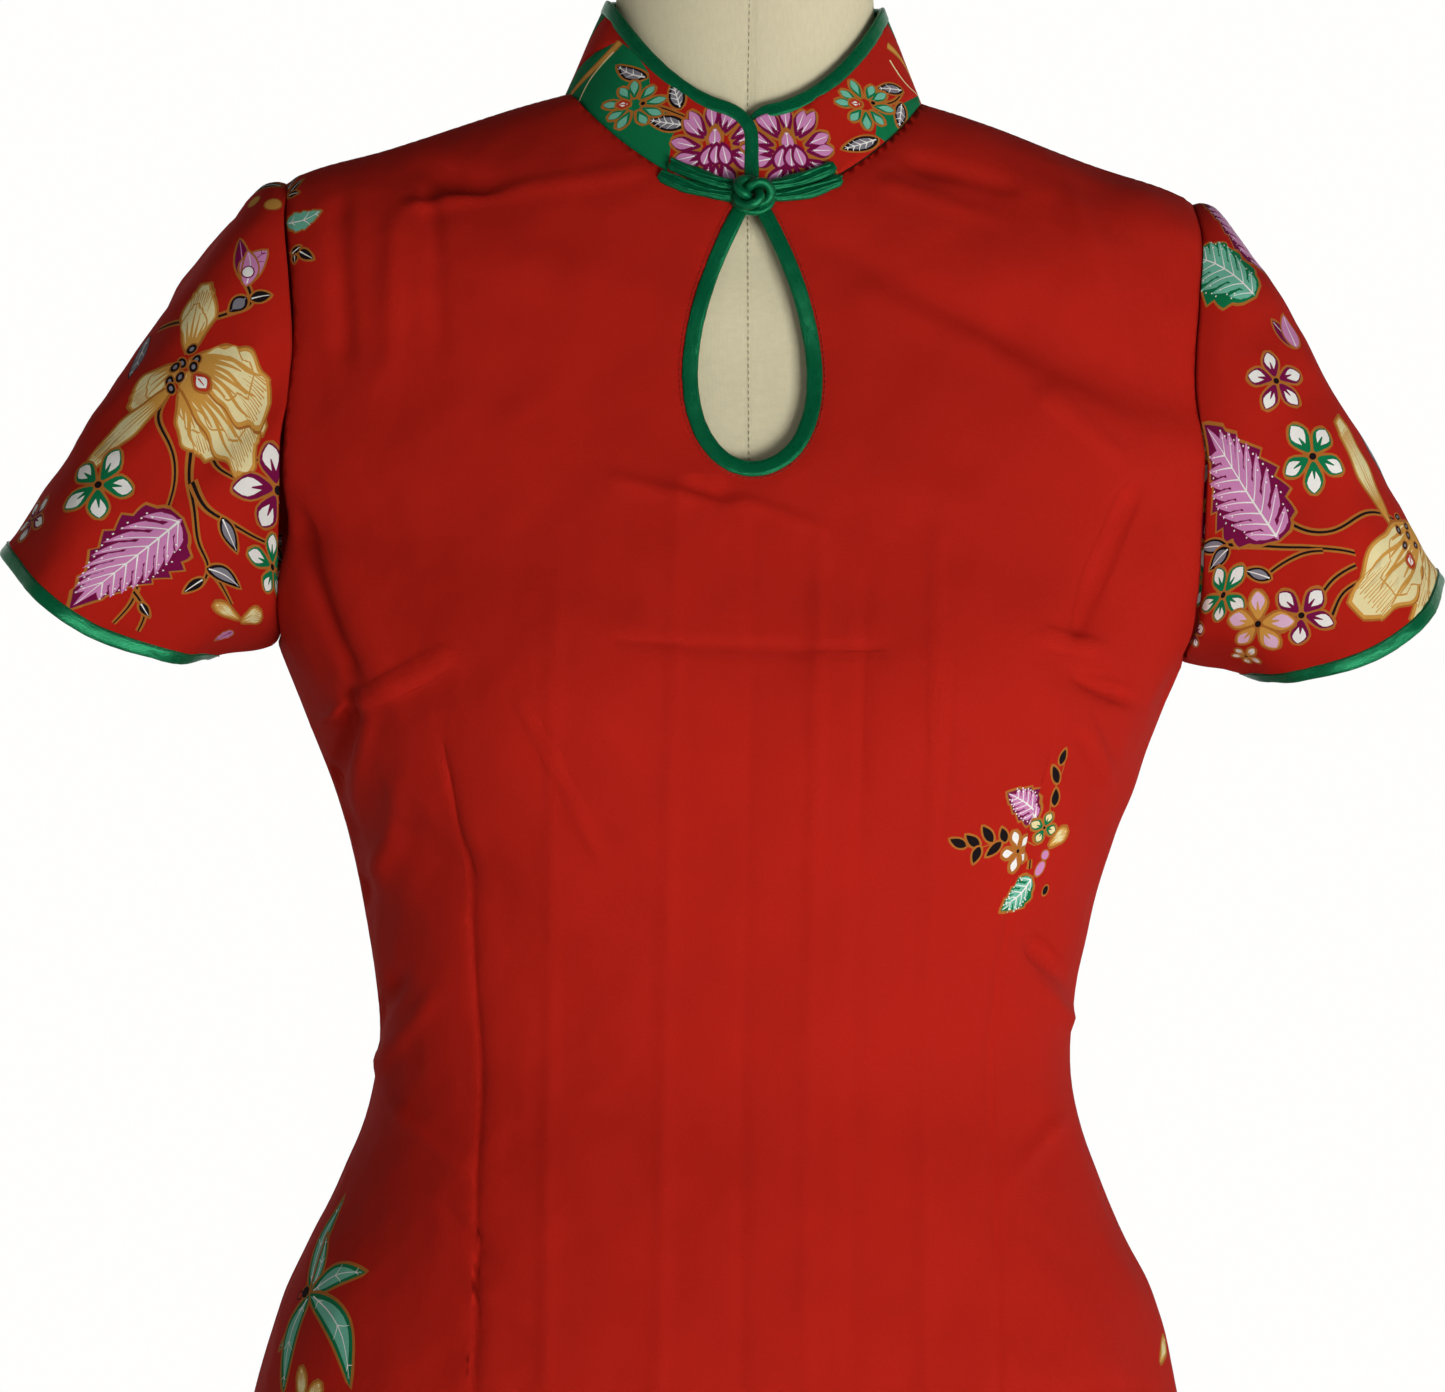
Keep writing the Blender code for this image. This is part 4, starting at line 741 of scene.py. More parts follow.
class Print:  # collects inked outlines on one piece; a later mark covers an earlier one
    def __init__(self, surface):
        self.surface = surface
        self.marks = []
        self.facing = "front"

    def start(self, x, z, angle=0):  # a foot on the flat, its scale and the angle of a shape
        flat, normal = spot(self.surface, x, z, self.facing)
        return flat, localScale(self.surface, flat, normal), angle

    def reach(self, x0, z0, x1, z1):  # foot, scale and angle, and the real length on the cloth
        origin, normal = spot(self.surface, x0, z0, self.facing)
        sign = 1.0 if normal[1] < 0 else -1.0
        right = unit(np.array([sign, 0, 0]) - normal * normal[0] * sign)
        up = np.cross(normal, right)
        seen = np.array([[right[0] * sign, up[0] * sign], [right[2], up[2]]])
        scale = localScale(self.surface, origin, normal)
        if abs(normal[1]) < 0.25:
            way = np.linalg.inv(scale) @ (spot(self.surface, x1, z1, self.facing)[0] - origin) * 1000
        else:
            way = np.linalg.inv(seen) @ np.array([x1 - x0, z1 - z0], float)
        length = min(float(np.linalg.norm(way)), 1.7 * math.hypot(x1 - x0, z1 - z0))
        return (origin, scale, math.degrees(math.atan2(way[1], way[0]))), length

    def add(self, ink, shape, place):
        origin, scale, angle = place
        self.marks.append((ink, origin + turnedBy(np.asarray(shape), angle) / 1000 @ scale.T))

    def patch(self, ink, places):  # a plain area of ground colour between places
        self.marks.append((ink, np.array([self.start(x, z)[0] for x, z in places])))

    def stem(self, points, width=1.25, ink="black", edge="gold", margin=1.15):
        places = [self.start(x, z) for x, z in points]
        origin, scale = places[0][0], places[len(places) // 2][1]
        line = np.array([(place[0] - origin) @ np.linalg.inv(scale).T * 1000 for place in places])
        line = curve(line, max(6, int(runAlong(line)[-1] / 2.2)))
        taper = np.linspace(1.0, 0.7, len(line))
        for wide, colour in ((width + 2 * margin, edge), (width, ink)):
            if colour:
                self.add(colour, ribbonShape(line, wide * taper), (origin, scale, 0))

    def leaf(self, x0, z0, x1, z1, width, fill="black", edge="gold", vein="white", bend=0.0,
             teeth=0, veins=0, margin=0.8, core=None):
        place, length = self.reach(x0, z0, x1, z1)
        layers = [(edge, margin), (fill, 0.0)] + ([(core, -0.28 * width / 2)] if core else [])
        for ink, grow in layers:
            if ink:
                self.add(ink, leafShape(length, width, bend, teeth, grow), place)
        if not vein:
            return
        share = np.linspace(0.06, 0.94, 9)
        middle = np.column_stack([share * length, bend * length * np.sin(math.pi * share)])
        self.add(vein, ribbonShape(middle, np.linspace(0.7, 0.25, 9)), place)
        for k in range(veins):
            at = 0.14 + 0.70 * k / max(veins - 1, 1)
            reach = width * 0.40 * math.sin(math.pi * at**0.82)
            foot = np.array([at * length, bend * length * math.sin(math.pi * at)])
            for sign in (-1, 1):
                tip = foot + np.array([reach * 0.9, sign * reach])
                line = curve([foot, (foot + tip) / 2 + (reach * 0.10, 0), tip], 5)
                self.add(vein, ribbonShape(line, np.linspace(0.55, 0.2, 5)), place)

    def flower(self, x, z, radius, petals=5, turn=0, rim="gold", band="green", fill="white",
               heart="black", width=1.0, inner=0.14, spikes=True):
        origin, scale, _ = self.start(x, z)
        wide = 2 * math.pi * radius / petals * 0.46 * width
        length, foot = radius * (1 - inner), radius * inner
        for ink, grow in ((rim, 0.95), (band, 0.0), (fill, -0.13 * wide)):
            if not ink:
                continue
            for k in range(petals):
                at = turn + 360 * k / petals + 6 * math.sin(k * 2.3 + x)
                shape = petalShape(length * (1 + 0.08 * math.sin(k * 3.1 + z)), wide, 0.64, grow)
                shape = shape + (foot + (0.07 * radius if grow < 0 else 0), 0)
                self.add(ink, shape, (origin, scale, at))
        for k in range(petals if spikes and band else 0):
            at = turn + 360 * k / petals + 6 * math.sin(k * 2.3 + x)
            line = np.array([(foot + 0.06 * radius, 0), (foot + 0.58 * length, 0.03 * wide)])
            self.add(band, ribbonShape(line, (0.30 * wide, 0.05 * wide)), (origin, scale, at))
        if heart:
            self.dot(x, z, radius * 0.10, heart, rim)

    def dot(self, x, z, radius, ink, edge=None, stretch=1.0, angle=0):
        place = self.start(x, z, angle)
        turns = np.linspace(0, 2 * math.pi, 12, endpoint=False)
        ring = np.column_stack([np.cos(turns) * stretch, np.sin(turns)])
        for colour, grow in ((edge, 0.6), (ink, 0.0)):
            if colour:
                self.add(colour, ring * (radius + grow), place)

    def leaves(self, rows, **looks):
        for row in rows:
            self.leaf(*row, **looks)

    def stems(self, lines, **looks):
        for line in lines:
            self.stem(line, **looks)


def inkedMesh(outline, spacingAt, innerLines, marks, ground="red"):  # each triangle has one ink
    low, high = outline.min(0), outline.max(0)
    points = []
    height, row = low[1], 0
    while height < high[1]:
        spacing = spacingAt(height)
        xs = np.arange(low[0] + 0.5 * spacing * (row % 2), high[0], spacing)
        points.append(np.column_stack([xs, np.full(len(xs), height)]))
        height += spacing * 0.866
        row += 1
    points = np.concatenate(points)
    points = points[insideOutline(points, outline)]
    lines = [outline] + list(innerLines) + [shape for _, shape in marks]
    shut = [True] + [False] * len(innerLines) + [True] * len(marks)
    tree = KDTree(sum(len(line) for line in lines))
    count = 0
    for line in lines:
        for p in line:
            tree.insert((p[0], p[1], 0), count)
            count += 1
    tree.balance()
    near = np.array([tree.find((p[0], p[1], 0))[2] for p in points])
    limit = np.array([spacingAt(p[1]) for p in points]) * 0.45
    points = points[near > limit]
    coords, edges, start = [], [], 0
    for line, closed in zip(lines, shut):
        coords += [Vector(p) for p in line]
        edges += [(start + k, start + k + 1) for k in range(len(line) - 1)]
        if closed:
            edges.append((start + len(line) - 1, start))
        start += len(line)
    coords += [Vector(p) for p in points]
    flat, _, triangles, _, _, _ = delaunay_2d_cdt(coords, edges, [], 0, 2e-6, False)
    flat = np.array([tuple(p) for p in flat])
    triangles = np.array([tuple(t) for t in triangles if len(t) == 3])
    centres = flat[triangles].mean(axis=1)
    kept = insideOutline(centres, outline)
    triangles, centres = triangles[kept], centres[kept]
    colour = np.tile(np.array(inks[ground]), (len(triangles), 1))
    for ink, shape in marks:
        lowest, highest = shape.min(0), shape.max(0)
        close = np.flatnonzero(((centres > lowest) & (centres < highest)).all(axis=1))
        if not len(close):
            continue
        colour[close[insideOutline(centres[close], shape)]] = inks[ink]
    used = np.unique(triangles)
    back = np.full(len(flat), -1)
    back[used] = np.arange(len(used))
    return flat[used], back[triangles], colour


# Materials
finish = {
    "cottonPitch": 0.00042,
    "cottonRough": 0.82,
    "satinPitch": 0.00022,
    "satinSlant": 42,
    "satinColour": tone("027246"),
    "satinRough": 0.27,
    "linenPitch": 0.0005,
    "linenColour": tone("efe4bf"),
}


class Look:  # one material and the nodes that make it
    def __init__(self, name):
        self.made = bpy.data.materials.new(name)
        self.made.use_nodes = True
        self.tree = self.made.node_tree

    def flat(self):
        return addNode(self.tree, "UVMap", uv_map="cloth").outputs["UV"]

    def place(self, stretch=None):
        place = addNode(self.tree, "TexCoord").outputs["Object"]
        return self.stretched(place, stretch) if stretch else place

    def stretched(self, source, scale):
        return addNode(self.tree, "Mapping", {"Vector": source, "Scale": scale}).outputs[0]

    def noise(self, source, scale, detail=3.0, rough=0.55):
        values = {"Vector": source, "Scale": scale, "Detail": detail, "Roughness": rough}
        return addNode(self.tree, "TexNoise", values).outputs["Fac"]

    def added(self, first, second):
        return addNode(self.tree, "Math", {0: first, 1: second}, operation="ADD").outputs[0]

    def weave(self, source, pitch, slant=0.0):  # over-and-under threads from two sets of waves
        turned = addNode(self.tree, "Mapping", {"Vector": source, "Rotation": (0, 0, slant)}).outputs[0]
        values = {"Vector": turned, "Scale": 0.314 / pitch, "Distortion": 0.6, "Detail": 1.0}
        waves = [addNode(self.tree, "TexWave", values, bands_direction=way) for way in "XY"]
        return self.added(*(wave.outputs["Fac"] for wave in waves))

    def ranged(self, value, low, high):
        values = {"Value": value, "To Min": low, "To Max": high}
        return addNode(self.tree, "MapRange", values).outputs["Result"]

    def shaded(self, colour, factor):  # colour times a brightness, as for dye that took unevenly
        values = {"Factor": 1.0, 6: (*colour, 1) if isinstance(colour, tuple) else colour, 7: factor}
        return addNode(self.tree, "Mix", values, data_type="RGBA", blend_type="MULTIPLY").outputs[2]

    def finished(self, heights, **looks):  # heights are pairs of a height socket and its depth in metres
        normal = None
        for height, depth in heights:
            values = {"Strength": 1.0, "Distance": depth, "Height": height}
            if normal:
                values["Normal"] = normal
            normal = addNode(self.tree, "Bump", values).outputs["Normal"]
        inputs = {key.replace("_", " "): value for key, value in looks.items()}
        fillNode(self.tree, self.tree.nodes["Principled BSDF"], {**inputs, "Normal": normal})
        return self.made


def cottonMaterial(name):
    look = Look(name)
    flat, place = look.flat(), look.place()
    ink = addNode(look.tree, "Attribute", attribute_name="ink").outputs["Color"]
    cloudy, slub = look.noise(place, 22, 5, 0.6), look.noise(flat, 900, 2, 0.6)
    dye = look.added(look.ranged(cloudy, 0.41, 0.56), look.ranged(slub, 0.40, 0.62))
    rough = look.ranged(cloudy, finish["cottonRough"] - 0.07, finish["cottonRough"] + 0.07)
    heights = (look.noise(place, 60, 4), 0.0007), (look.weave(flat, finish["cottonPitch"]), 0.00006)
    return look.finished(heights, Base_Color=look.shaded(ink, dye), Roughness=rough,
                         Specular_IOR_Level=0.09)


def satinMaterial(name):
    look = Look(name)
    flat, place = look.flat(), look.place()
    weave = look.weave(flat, finish["satinPitch"], math.radians(finish["satinSlant"]))
    gathers = look.noise(look.stretched(flat, (0.12, 1, 1)), 620, 3, 0.5)
    dye = look.ranged(look.noise(place, 70, 3, 0.5), 0.90, 1.10)
    rough = look.ranged(gathers, finish["satinRough"] - 0.05, finish["satinRough"] + 0.07)
    return look.finished(((gathers, 0.0006), (weave, 0.00002)), Roughness=rough, Metallic=0.5,
                         Base_Color=look.shaded(finish["satinColour"], dye), Specular_IOR_Level=0.3,
                         Anisotropic=0.45)


def linenMaterial(name):
    look = Look(name)
    flat = look.flat()
    slub, cloudy = look.noise(flat, 240, 4, 0.7), look.noise(flat, 14, 4, 0.6)
    dye = look.added(look.ranged(cloudy, 0.44, 0.54), look.ranged(slub, 0.40, 0.60))
    heights = (slub, 0.0002), (look.weave(flat, finish["linenPitch"]), 0.00004)
    return look.finished(heights, Base_Color=look.shaded(finish["linenColour"], dye), Roughness=0.9,
                         Specular_IOR_Level=0.25)


def plainMaterial(name, colour, pattern, shades, gloss, bump, **looks):  # one noise gives all unevenness
    look = Look(name)
    stretch, *noise = pattern
    marks = look.noise(look.place(stretch), *noise)
    rough = look.ranged(marks, *gloss) if isinstance(gloss, tuple) else gloss
    relief, depth = bump
    heights = ((look.noise(look.place(), *relief) if relief else marks, depth),)
    tint = look.shaded(colour, look.ranged(marks, *shades))
    return look.finished(heights, Base_Color=tint, Roughness=rough, **looks)


def threadMaterial(name, colour):
    return plainMaterial(name, tone(colour), (None, 1500, 2, 0.5), (0.7, 1.3), 0.6, (None, 0.0001))


cotton = cottonMaterial("printed_cotton_cloth")
satin = satinMaterial("green_satin_cloth")
linen = linenMaterial("form_linen_cloth")
steel = plainMaterial("stand_steel_brushed", (0.58, 0.58, 0.59), ((1, 1, 90), 24, 5, 0.6), (0.85, 1.1),
                      (0.20, 0.42), (None, 0.00005), Metallic=1.0)
paint = plainMaterial("base_paint_satin", (0.035, 0.035, 0.037), (None, 18, 6, 0.7), (0.8, 1.5),
                      (0.38, 0.58), ((900, 2, 0.5), 0.00012))
wood = plainMaterial("cap_wood_oiled", (0.30, 0.15, 0.065), ((1, 9, 9), 16, 8, 0.65), (0.45, 1.6),
                     (0.36, 0.55), (None, 0.00025), Coat_Weight=0.25)
redThread = threadMaterial("red_thread", "a82016")
greenThread = threadMaterial("green_thread", "0a5c38")
linenThread = threadMaterial("linen_thread", "8f8464")
print("materials are made")


# Meshes
def addPiece(name, points, faces, material, replaces=(), flat=None, colour=None, sharp=60):
    mesh = bpy.data.meshes.new(name)
    mesh.from_pydata(np.asarray(points).tolist(), [], np.asarray(faces).tolist()
                     if isinstance(faces, np.ndarray) else [tuple(int(i) for i in f) for f in faces])
    mesh.update()
    corners = np.zeros(len(mesh.loops), int)
    mesh.loops.foreach_get("vertex_index", corners)
    if flat is not None:
        layer = mesh.uv_layers.new(name="cloth")
        layer.data.foreach_set("uv", np.asarray(flat, float)[corners].ravel())
    if colour is not None:
        sides = np.zeros(len(mesh.polygons), int)
        mesh.polygons.foreach_get("loop_total", sides)
        each = np.repeat(np.column_stack([colour, np.ones(len(colour))]), sides, axis=0)
        layer = mesh.color_attributes.new("ink", "FLOAT_COLOR", "CORNER")
        layer.data.foreach_set("color", each.ravel())
    mesh.shade_smooth()
    if sharp:
        mesh.set_sharp_from_angle(angle=math.radians(sharp))
    mesh.materials.append(material)
    piece = bpy.data.objects.new(name, mesh)
    scene.collection.objects.link(piece)
    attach(piece, "root")
    if replaces:
        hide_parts(*replaces)
    return piece


def facedOut(points, triangles, normals):  # winds triangles along the normals
    a, b, c = (points[triangles[:, k]] for k in range(3))
    wrong = np.sum(np.cross(b - a, c - a) * normals[triangles[:, 0]], axis=1) < 0
    triangles = triangles.copy()
    triangles[wrong] = triangles[wrong][:, ::-1]
    return triangles


def reshaped(piece, change):
    shape = bmesh.new()
    shape.from_mesh(piece.data)
    change(shape)
    shape.to_mesh(piece.data)
    shape.free()
    return piece


def joinTouching(shape):
    bmesh.ops.remove_doubles(shape, verts=shape.verts, dist=0.00002)


def faceOutward(shape):
    bmesh.ops.recalc_face_normals(shape, faces=shape.faces)


def thicken(piece, thick):
    wall = piece.modifiers.new("wall", "SOLIDIFY")
    wall.thickness = thick
    wall.offset = -1
    return piece


def seamSink(flat, line, width, depth):  # how far the cloth turns in beside a sewn edge
    tree = KDTree(len(line))
    for k, p in enumerate(line):
        tree.insert((p[0], p[1], 0), k)
    tree.balance()
    gap = np.array([tree.find((p[0], p[1], 0))[2] for p in flat])
    return -depth * np.exp(-((gap / width) ** 2))


def oblong(sides, flatness):
    turns = 2 * math.pi * (np.arange(sides) + 0.5) / sides
    cosine, sine = np.cos(turns), np.sin(turns)
    across = np.sign(cosine) * np.abs(cosine) ** flatness
    return np.column_stack([across, np.sign(sine) * np.abs(sine) ** ((1 + flatness) / 2)])


def stripMesh(centre, across, out, width, thick, closed, sides=14, flatness=0.55, ripple=0.0, seed=4):
    section = oblong(sides, flatness)
    count = len(centre)
    widths = np.broadcast_to(np.asarray(width, float), (count,))[:, None, None]
    thicks = np.broadcast_to(np.asarray(thick, float), (count,))[:, None, None]
    u, w = section[:, 0][None, :, None], section[:, 1][None, :, None]
    points = centre[:, None, :] + across[:, None, :] * u * widths / 2 + out[:, None, :] * w * thicks / 2
    if ripple:
        outward = across[:, None, :] * u + out[:, None, :] * w
        points = points + outward * ripple * unevenness(points, 0.006, seed)[..., None]
    along = runAlong(centre)
    turns = np.arange(sides) / sides * float(np.mean(widths)) * 2
    flat = np.stack(np.broadcast_arrays(along[:, None], turns[None, :]), axis=-1).reshape(-1, 2)
    faces = []
    for k in range(count if closed else count - 1):
        low, high = k * sides, (k + 1) % count * sides
        for j in range(sides):
            step = (j + 1) % sides
            faces.append((low + j, low + step, high + step, high + j))
    if not closed:
        faces.append(tuple(range(sides))[::-1])
        faces.append(tuple((count - 1) * sides + j for j in range(sides)))
    return points.reshape(-1, 3), faces, flat


def joinMeshes(parts):
    points, faces, flats, shift = [], [], [], 0
    for p, f, m in parts:
        points.append(p)
        flats.append(m)
        faces += [tuple(i + shift for i in face) for face in f]
        shift += len(p)
    return np.concatenate(points), faces, np.concatenate(flats)


def sweptPiece(name, strip, material, replaces=()):
    points, faces, flat = strip
    return reshaped(addPiece(name, points, faces, material, replaces, flat), faceOutward)


def lineFrame(centre, out):
    along = np.gradient(centre, axis=0)
    across = unit(np.cross(unit(out), along))
    return across, unit(np.cross(along, across))


# pitch, length, thickness and lift of the threads of each row of stitches
threadSizes = {
    "sleeve": (0.0028, 0.0021, 0.00042, 0.0002),
    "keyhole": (0.0026, 0.0019, 0.00038, 0.0002),
    "form": (0.0030, 0.0019, 0.00034, 0.0001),
}
bindingShape = {"thick": 0.0021, "collarThick": 0.0023, "sides": 16, "flatness": 0.36, "ripple": 0.00008}


def stitches(line, out, pitch, length, thick, lift):  # short threads along a line on a surface
    run = runAlong(line)
    parts = []
    for start in np.arange(pitch * 0.3, run[-1] - length, pitch):
        at = start + np.linspace(0, length, 5)
        centre = np.column_stack([np.interp(at, run, line[:, k]) for k in range(3)])
        normal = unit(np.column_stack([np.interp(at, run, out[:, k]) for k in range(3)]))
        rise = lift * np.sin(np.linspace(0, math.pi, 5)) ** 0.5
        centre = centre + normal * rise[:, None]
        across, normal = lineFrame(centre, normal)
        size = thick * (0.45 + 0.55 * np.sin(np.linspace(0, math.pi, 5)))
        parts.append(stripMesh(centre, across, normal, size, size, False, 5, 1.0))
    return joinMeshes(parts)


# Front and back
panelGrain = {
    "bodice": 0.0030,
    "skirt": 0.0100,
    "fineAbove": 0.90,
    "edge": 0.005,
    "besideSeam": (0.0030, 0.0070, 0.0120),
}


def panelSpacing(run):
    return panelGrain["bodice"] if run > fineRun else panelGrain["skirt"]


fineRun = float(runAtHeight(panelGrain["fineAbove"]))
seamTop = float(runAtHeight(armholeShape["bottom"])) - 0.006


def panelShell(name, side, marks):
    heights = np.linspace(dartShape[side][-1][0], dartShape[side][0][0], 60)
    places, runs = dartPlace(side, heights), runAtHeight(heights)
    lines = []
    for sign in (-1, 1):
        for flank in (-dartShape["flank"], 0, dartShape["flank"]):
            lines.append(np.column_stack([sign * (places + flank), runs]))
        for inset in panelGrain["besideSeam"]:
            edge = sideSeam(side, 0.004, seamTop, 0.006, True) - (inset, 0)
            lines.append(edge * (sign, 1))
    outline = panelOutline(side, panelGrain["edge"])
    flat, triangles, colour = inkedMesh(outline, panelSpacing, lines, marks)
    hole = armholeLine(side)
    sewn = np.concatenate([
        hole, hole * (-1, 1),
        sideSeam(side, 0.16, runTop, 0.003, True), sideSeam(side, 0.16, runTop, 0.003, True) * (-1, 1),
        np.column_stack([np.linspace(-0.09, 0.09, 60), np.full(60, runTop)]),
    ])
    sink = seamSink(flat, sewn, clothShape["seamRollWidth"], clothShape["seamRoll"])
    if side == "front":
        edge = keyholeEdge(keyhole["binding"])
        edge = np.column_stack([edge[:, 0], frontRunAt(edge[:, 1])])
        edge = np.concatenate([edge, mirrored(edge)])
        sink += seamSink(flat, edge, keyhole["rollWidth"], keyhole["roll"])
    points, normals = clothPoint(side, flat[:, 0], flat[:, 1], sink)
    triangles = facedOut(points, triangles, normals)
    piece = addPiece(name, points, triangles, cotton, (name[:-6],), flat, colour, 0)
    return thicken(piece, clothShape["thick"])


def panelSurface(side):
    us, vs = np.linspace(-0.235, 0.235, 236), np.arange(0.02, runTop, 0.002)
    return surfaceFinder(lambda u, v: clothPoint(side, u, v), us, vs)


frontPrint = Print(panelSurface("front"))
backPrint = Print(panelSurface("back"))


def bloomPetal(cloth, x0, z0, x1, z1, width, waves, streaks):  # cream, with a frilled gold edge
    place, length = cloth.reach(x0, z0, x1, z1)
    share = np.linspace(0, 1, 34)
    swell = np.clip(share * 1.9, 0.03, 1) ** 0.7
    tip = np.sqrt(np.clip(1 - np.clip((share - 0.45) / 0.55, 0, 1) ** 2.4, 0.04, 1))
    inset = -0.8 if width < 30 else -1.7
    layers = [("gold", 1.0, 1.0, 0.0), ("ochre", 0.0, 1.0, 0.0), ("cream", inset, 1.0, 0.0)]
    if width > 14:
        layers += [("ochre", 0.3, 0.70, 0.10), ("cream", -0.45, 0.70, 0.10)]
    for ink, grow, size, off in layers:
        half = width / 2 * size * swell * tip
        frill = 0.070 * width * share
        upper = half + grow + frill * np.sin(share * waves * 9 + size)
        lower = half + grow + frill * np.sin(share * waves * 8 + 2 * size)
        x = -grow + share * (length * size + 2 * grow)
        x = x + np.where(share > 0.8, 0.02 * length * np.sin(share * 60), 0)
        shift = off * width * share
        shape = np.concatenate([np.column_stack([x, upper + shift]),
                                np.column_stack([x, shift - lower])[::-1]])
        cloth.add(ink, shape, place)
    for k in range(streaks):  # from the foot
        lean = (k + 0.5) / streaks * 2 - 1
        reach = 0.44 + 0.22 * ((k * 7) % 3) / 2
        line = np.array([(0.05 * length, lean * width * 0.07), (0.26 * length, lean * width * 0.22),
                         (reach * length, lean * width * 0.34)])
        wide = np.linspace(0.12, 0.02, 7) * width
        cloth.add("ochre", ribbonShape(curve(line, 7), wide), place)
    for k in range(2 * streaks + 2):  # towards the edge
        lean = k / (2 * streaks + 1) * 2 - 1
        start, end = 0.58 + 0.06 * ((k * 5) % 3), 0.86 + 0.03 * (k % 2)
        line = np.array([(start * length, lean * width * 0.27), (end * length, lean * width * 0.34)])
        cloth.add("ochre", ribbonShape(line, (0.2, 0.7)), place)
    for k in range(3 if width > 20 else 0):  # soft folds of the large petals
        lean = (k - 1) * 0.26 * width
        line = np.array([(0.22 * length, lean * 0.5), (0.42 * length, lean * 0.8 + 0.04 * width),
                         (0.60 * length, lean - 0.03 * width),
                         (0.78 * length, lean * 1.15 + 0.03 * width)])
        wide = np.sin(np.linspace(0.3, 2.9, 10)) * 1.9
        cloth.add("ochre", ribbonShape(curve(line, 10), wide), place)


def seeds(cloth, places, size=1.9):
    for k, (x, z) in enumerate(places):
        cloth.dot(x, z, size, "black", "gold", 1.35, 40 + 25 * (k % 4))
        cloth.dot(x, z, size * 0.45, "grey", None, 1.4, 40 + 25 * (k % 4))


def heart(cloth, x, z, angle, size=5.0):  # a red drop with a white core
    place = cloth.start(x, z, angle)
    for ink, grow in (("gold", 1.0), ("brick", 0.2), ("white", -1.0)):
        cloth.add(ink, petalShape(size * 1.8, size * 1.5, 0.6, grow), place)
    line = np.array([(size * 0.5, 0), (size * 1.3, 0)])
    cloth.add("brick", ribbonShape(line, (0.8, 0.4)), place)


def batikLeaf(cloth, x0, z0, x1, z1, width, teeth=7, bend=0.04, dark="magenta", pale="pink"):
    place, length = cloth.reach(x0, z0, x1, z1)

    def middle(at):
        return np.array([at * length, bend * length * math.sin(math.pi * at)])

    for ink, grow in (("gold", 1.0), (dark, 0.0)):
        cloth.add(ink, leafShape(length, width * 1.14, bend, teeth, grow), place)
    cloth.add(pale, leafShape(length * 0.97, width * 0.34, bend), place)
    gap = length * 0.80 / (teeth + 1)
    veins = []
    for k in range(teeth + 1):
        at = 0.04 + 0.80 * k / (teeth + 1)
        half = width * 0.57 * math.sin(math.pi * min(at + 0.10, 0.96) ** 0.68) ** 0.85
        for sign in (-1, 1):
            lean = sign * (50 - 16 * at)
            size = half * 0.80 / math.sin(math.radians(abs(lean)))
            foot = middle(at)
            lobe = leafShape(size, gap * 0.74, sign * 0.06, 2)
            cloth.add(pale, turnedBy(lobe, lean, foot), place)
            vein = np.array([(0, 0), (size * 0.45, sign * 0.3), (size * 0.82, sign * 0.5)])
            veins.append(turnedBy(vein, lean, foot))
            for step, reach in ((0.10, 0.80), (0.62, 0.78), (0.36, 0.60)):
                ring = np.linspace(0, 2 * math.pi, 7)[:-1]
                centre = foot + (gap * step + half * reach * 0.62, sign * half * reach)
                cloth.add("white", np.column_stack([np.cos(ring), np.sin(ring)]) * 0.40 + centre, place)
    share = np.linspace(0.03, 0.95, 9)
    line = np.array([middle(at) for at in share])
    cloth.add("white", ribbonShape(line, np.linspace(1.0, 0.3, 9)), place)
    for vein in veins:
        cloth.add("white", ribbonShape(curve(vein, 5), np.linspace(0.6, 0.2, 5)), place)


def daisy(cloth, x, z, radius, petals, turn, band="magenta", fill="pink"):
    cloth.flower(x, z, radius, petals, turn, "gold", band, fill, None, 1.80, 0.34, False)
    for k in range(petals):
        line = np.array([(radius * 0.50, 0.3), (radius * 0.88, -0.2)])
        at = turn + 360 * k / petals + 6 * math.sin(k * 2.3 + x)
        cloth.add("white", ribbonShape(line, (0.60, 0.25)), cloth.start(x, z, at))
    cloth.leaf(x - radius * 0.04, z + radius * 0.02, x - radius * 0.06, z + radius * 0.42,
               radius * 0.26, fill, veins=2, margin=1.5)
    for lean in (-0.20, 0.0, 0.20):
        cloth.leaf(x + radius * lean * 1.3, z - radius * 0.34, x + radius * lean * 0.7,
                   z + radius * 0.04, radius * 0.24, fill, band, margin=1.2)


def bloom(cloth, rows):
    for row in rows:
        bloomPetal(cloth, *row)


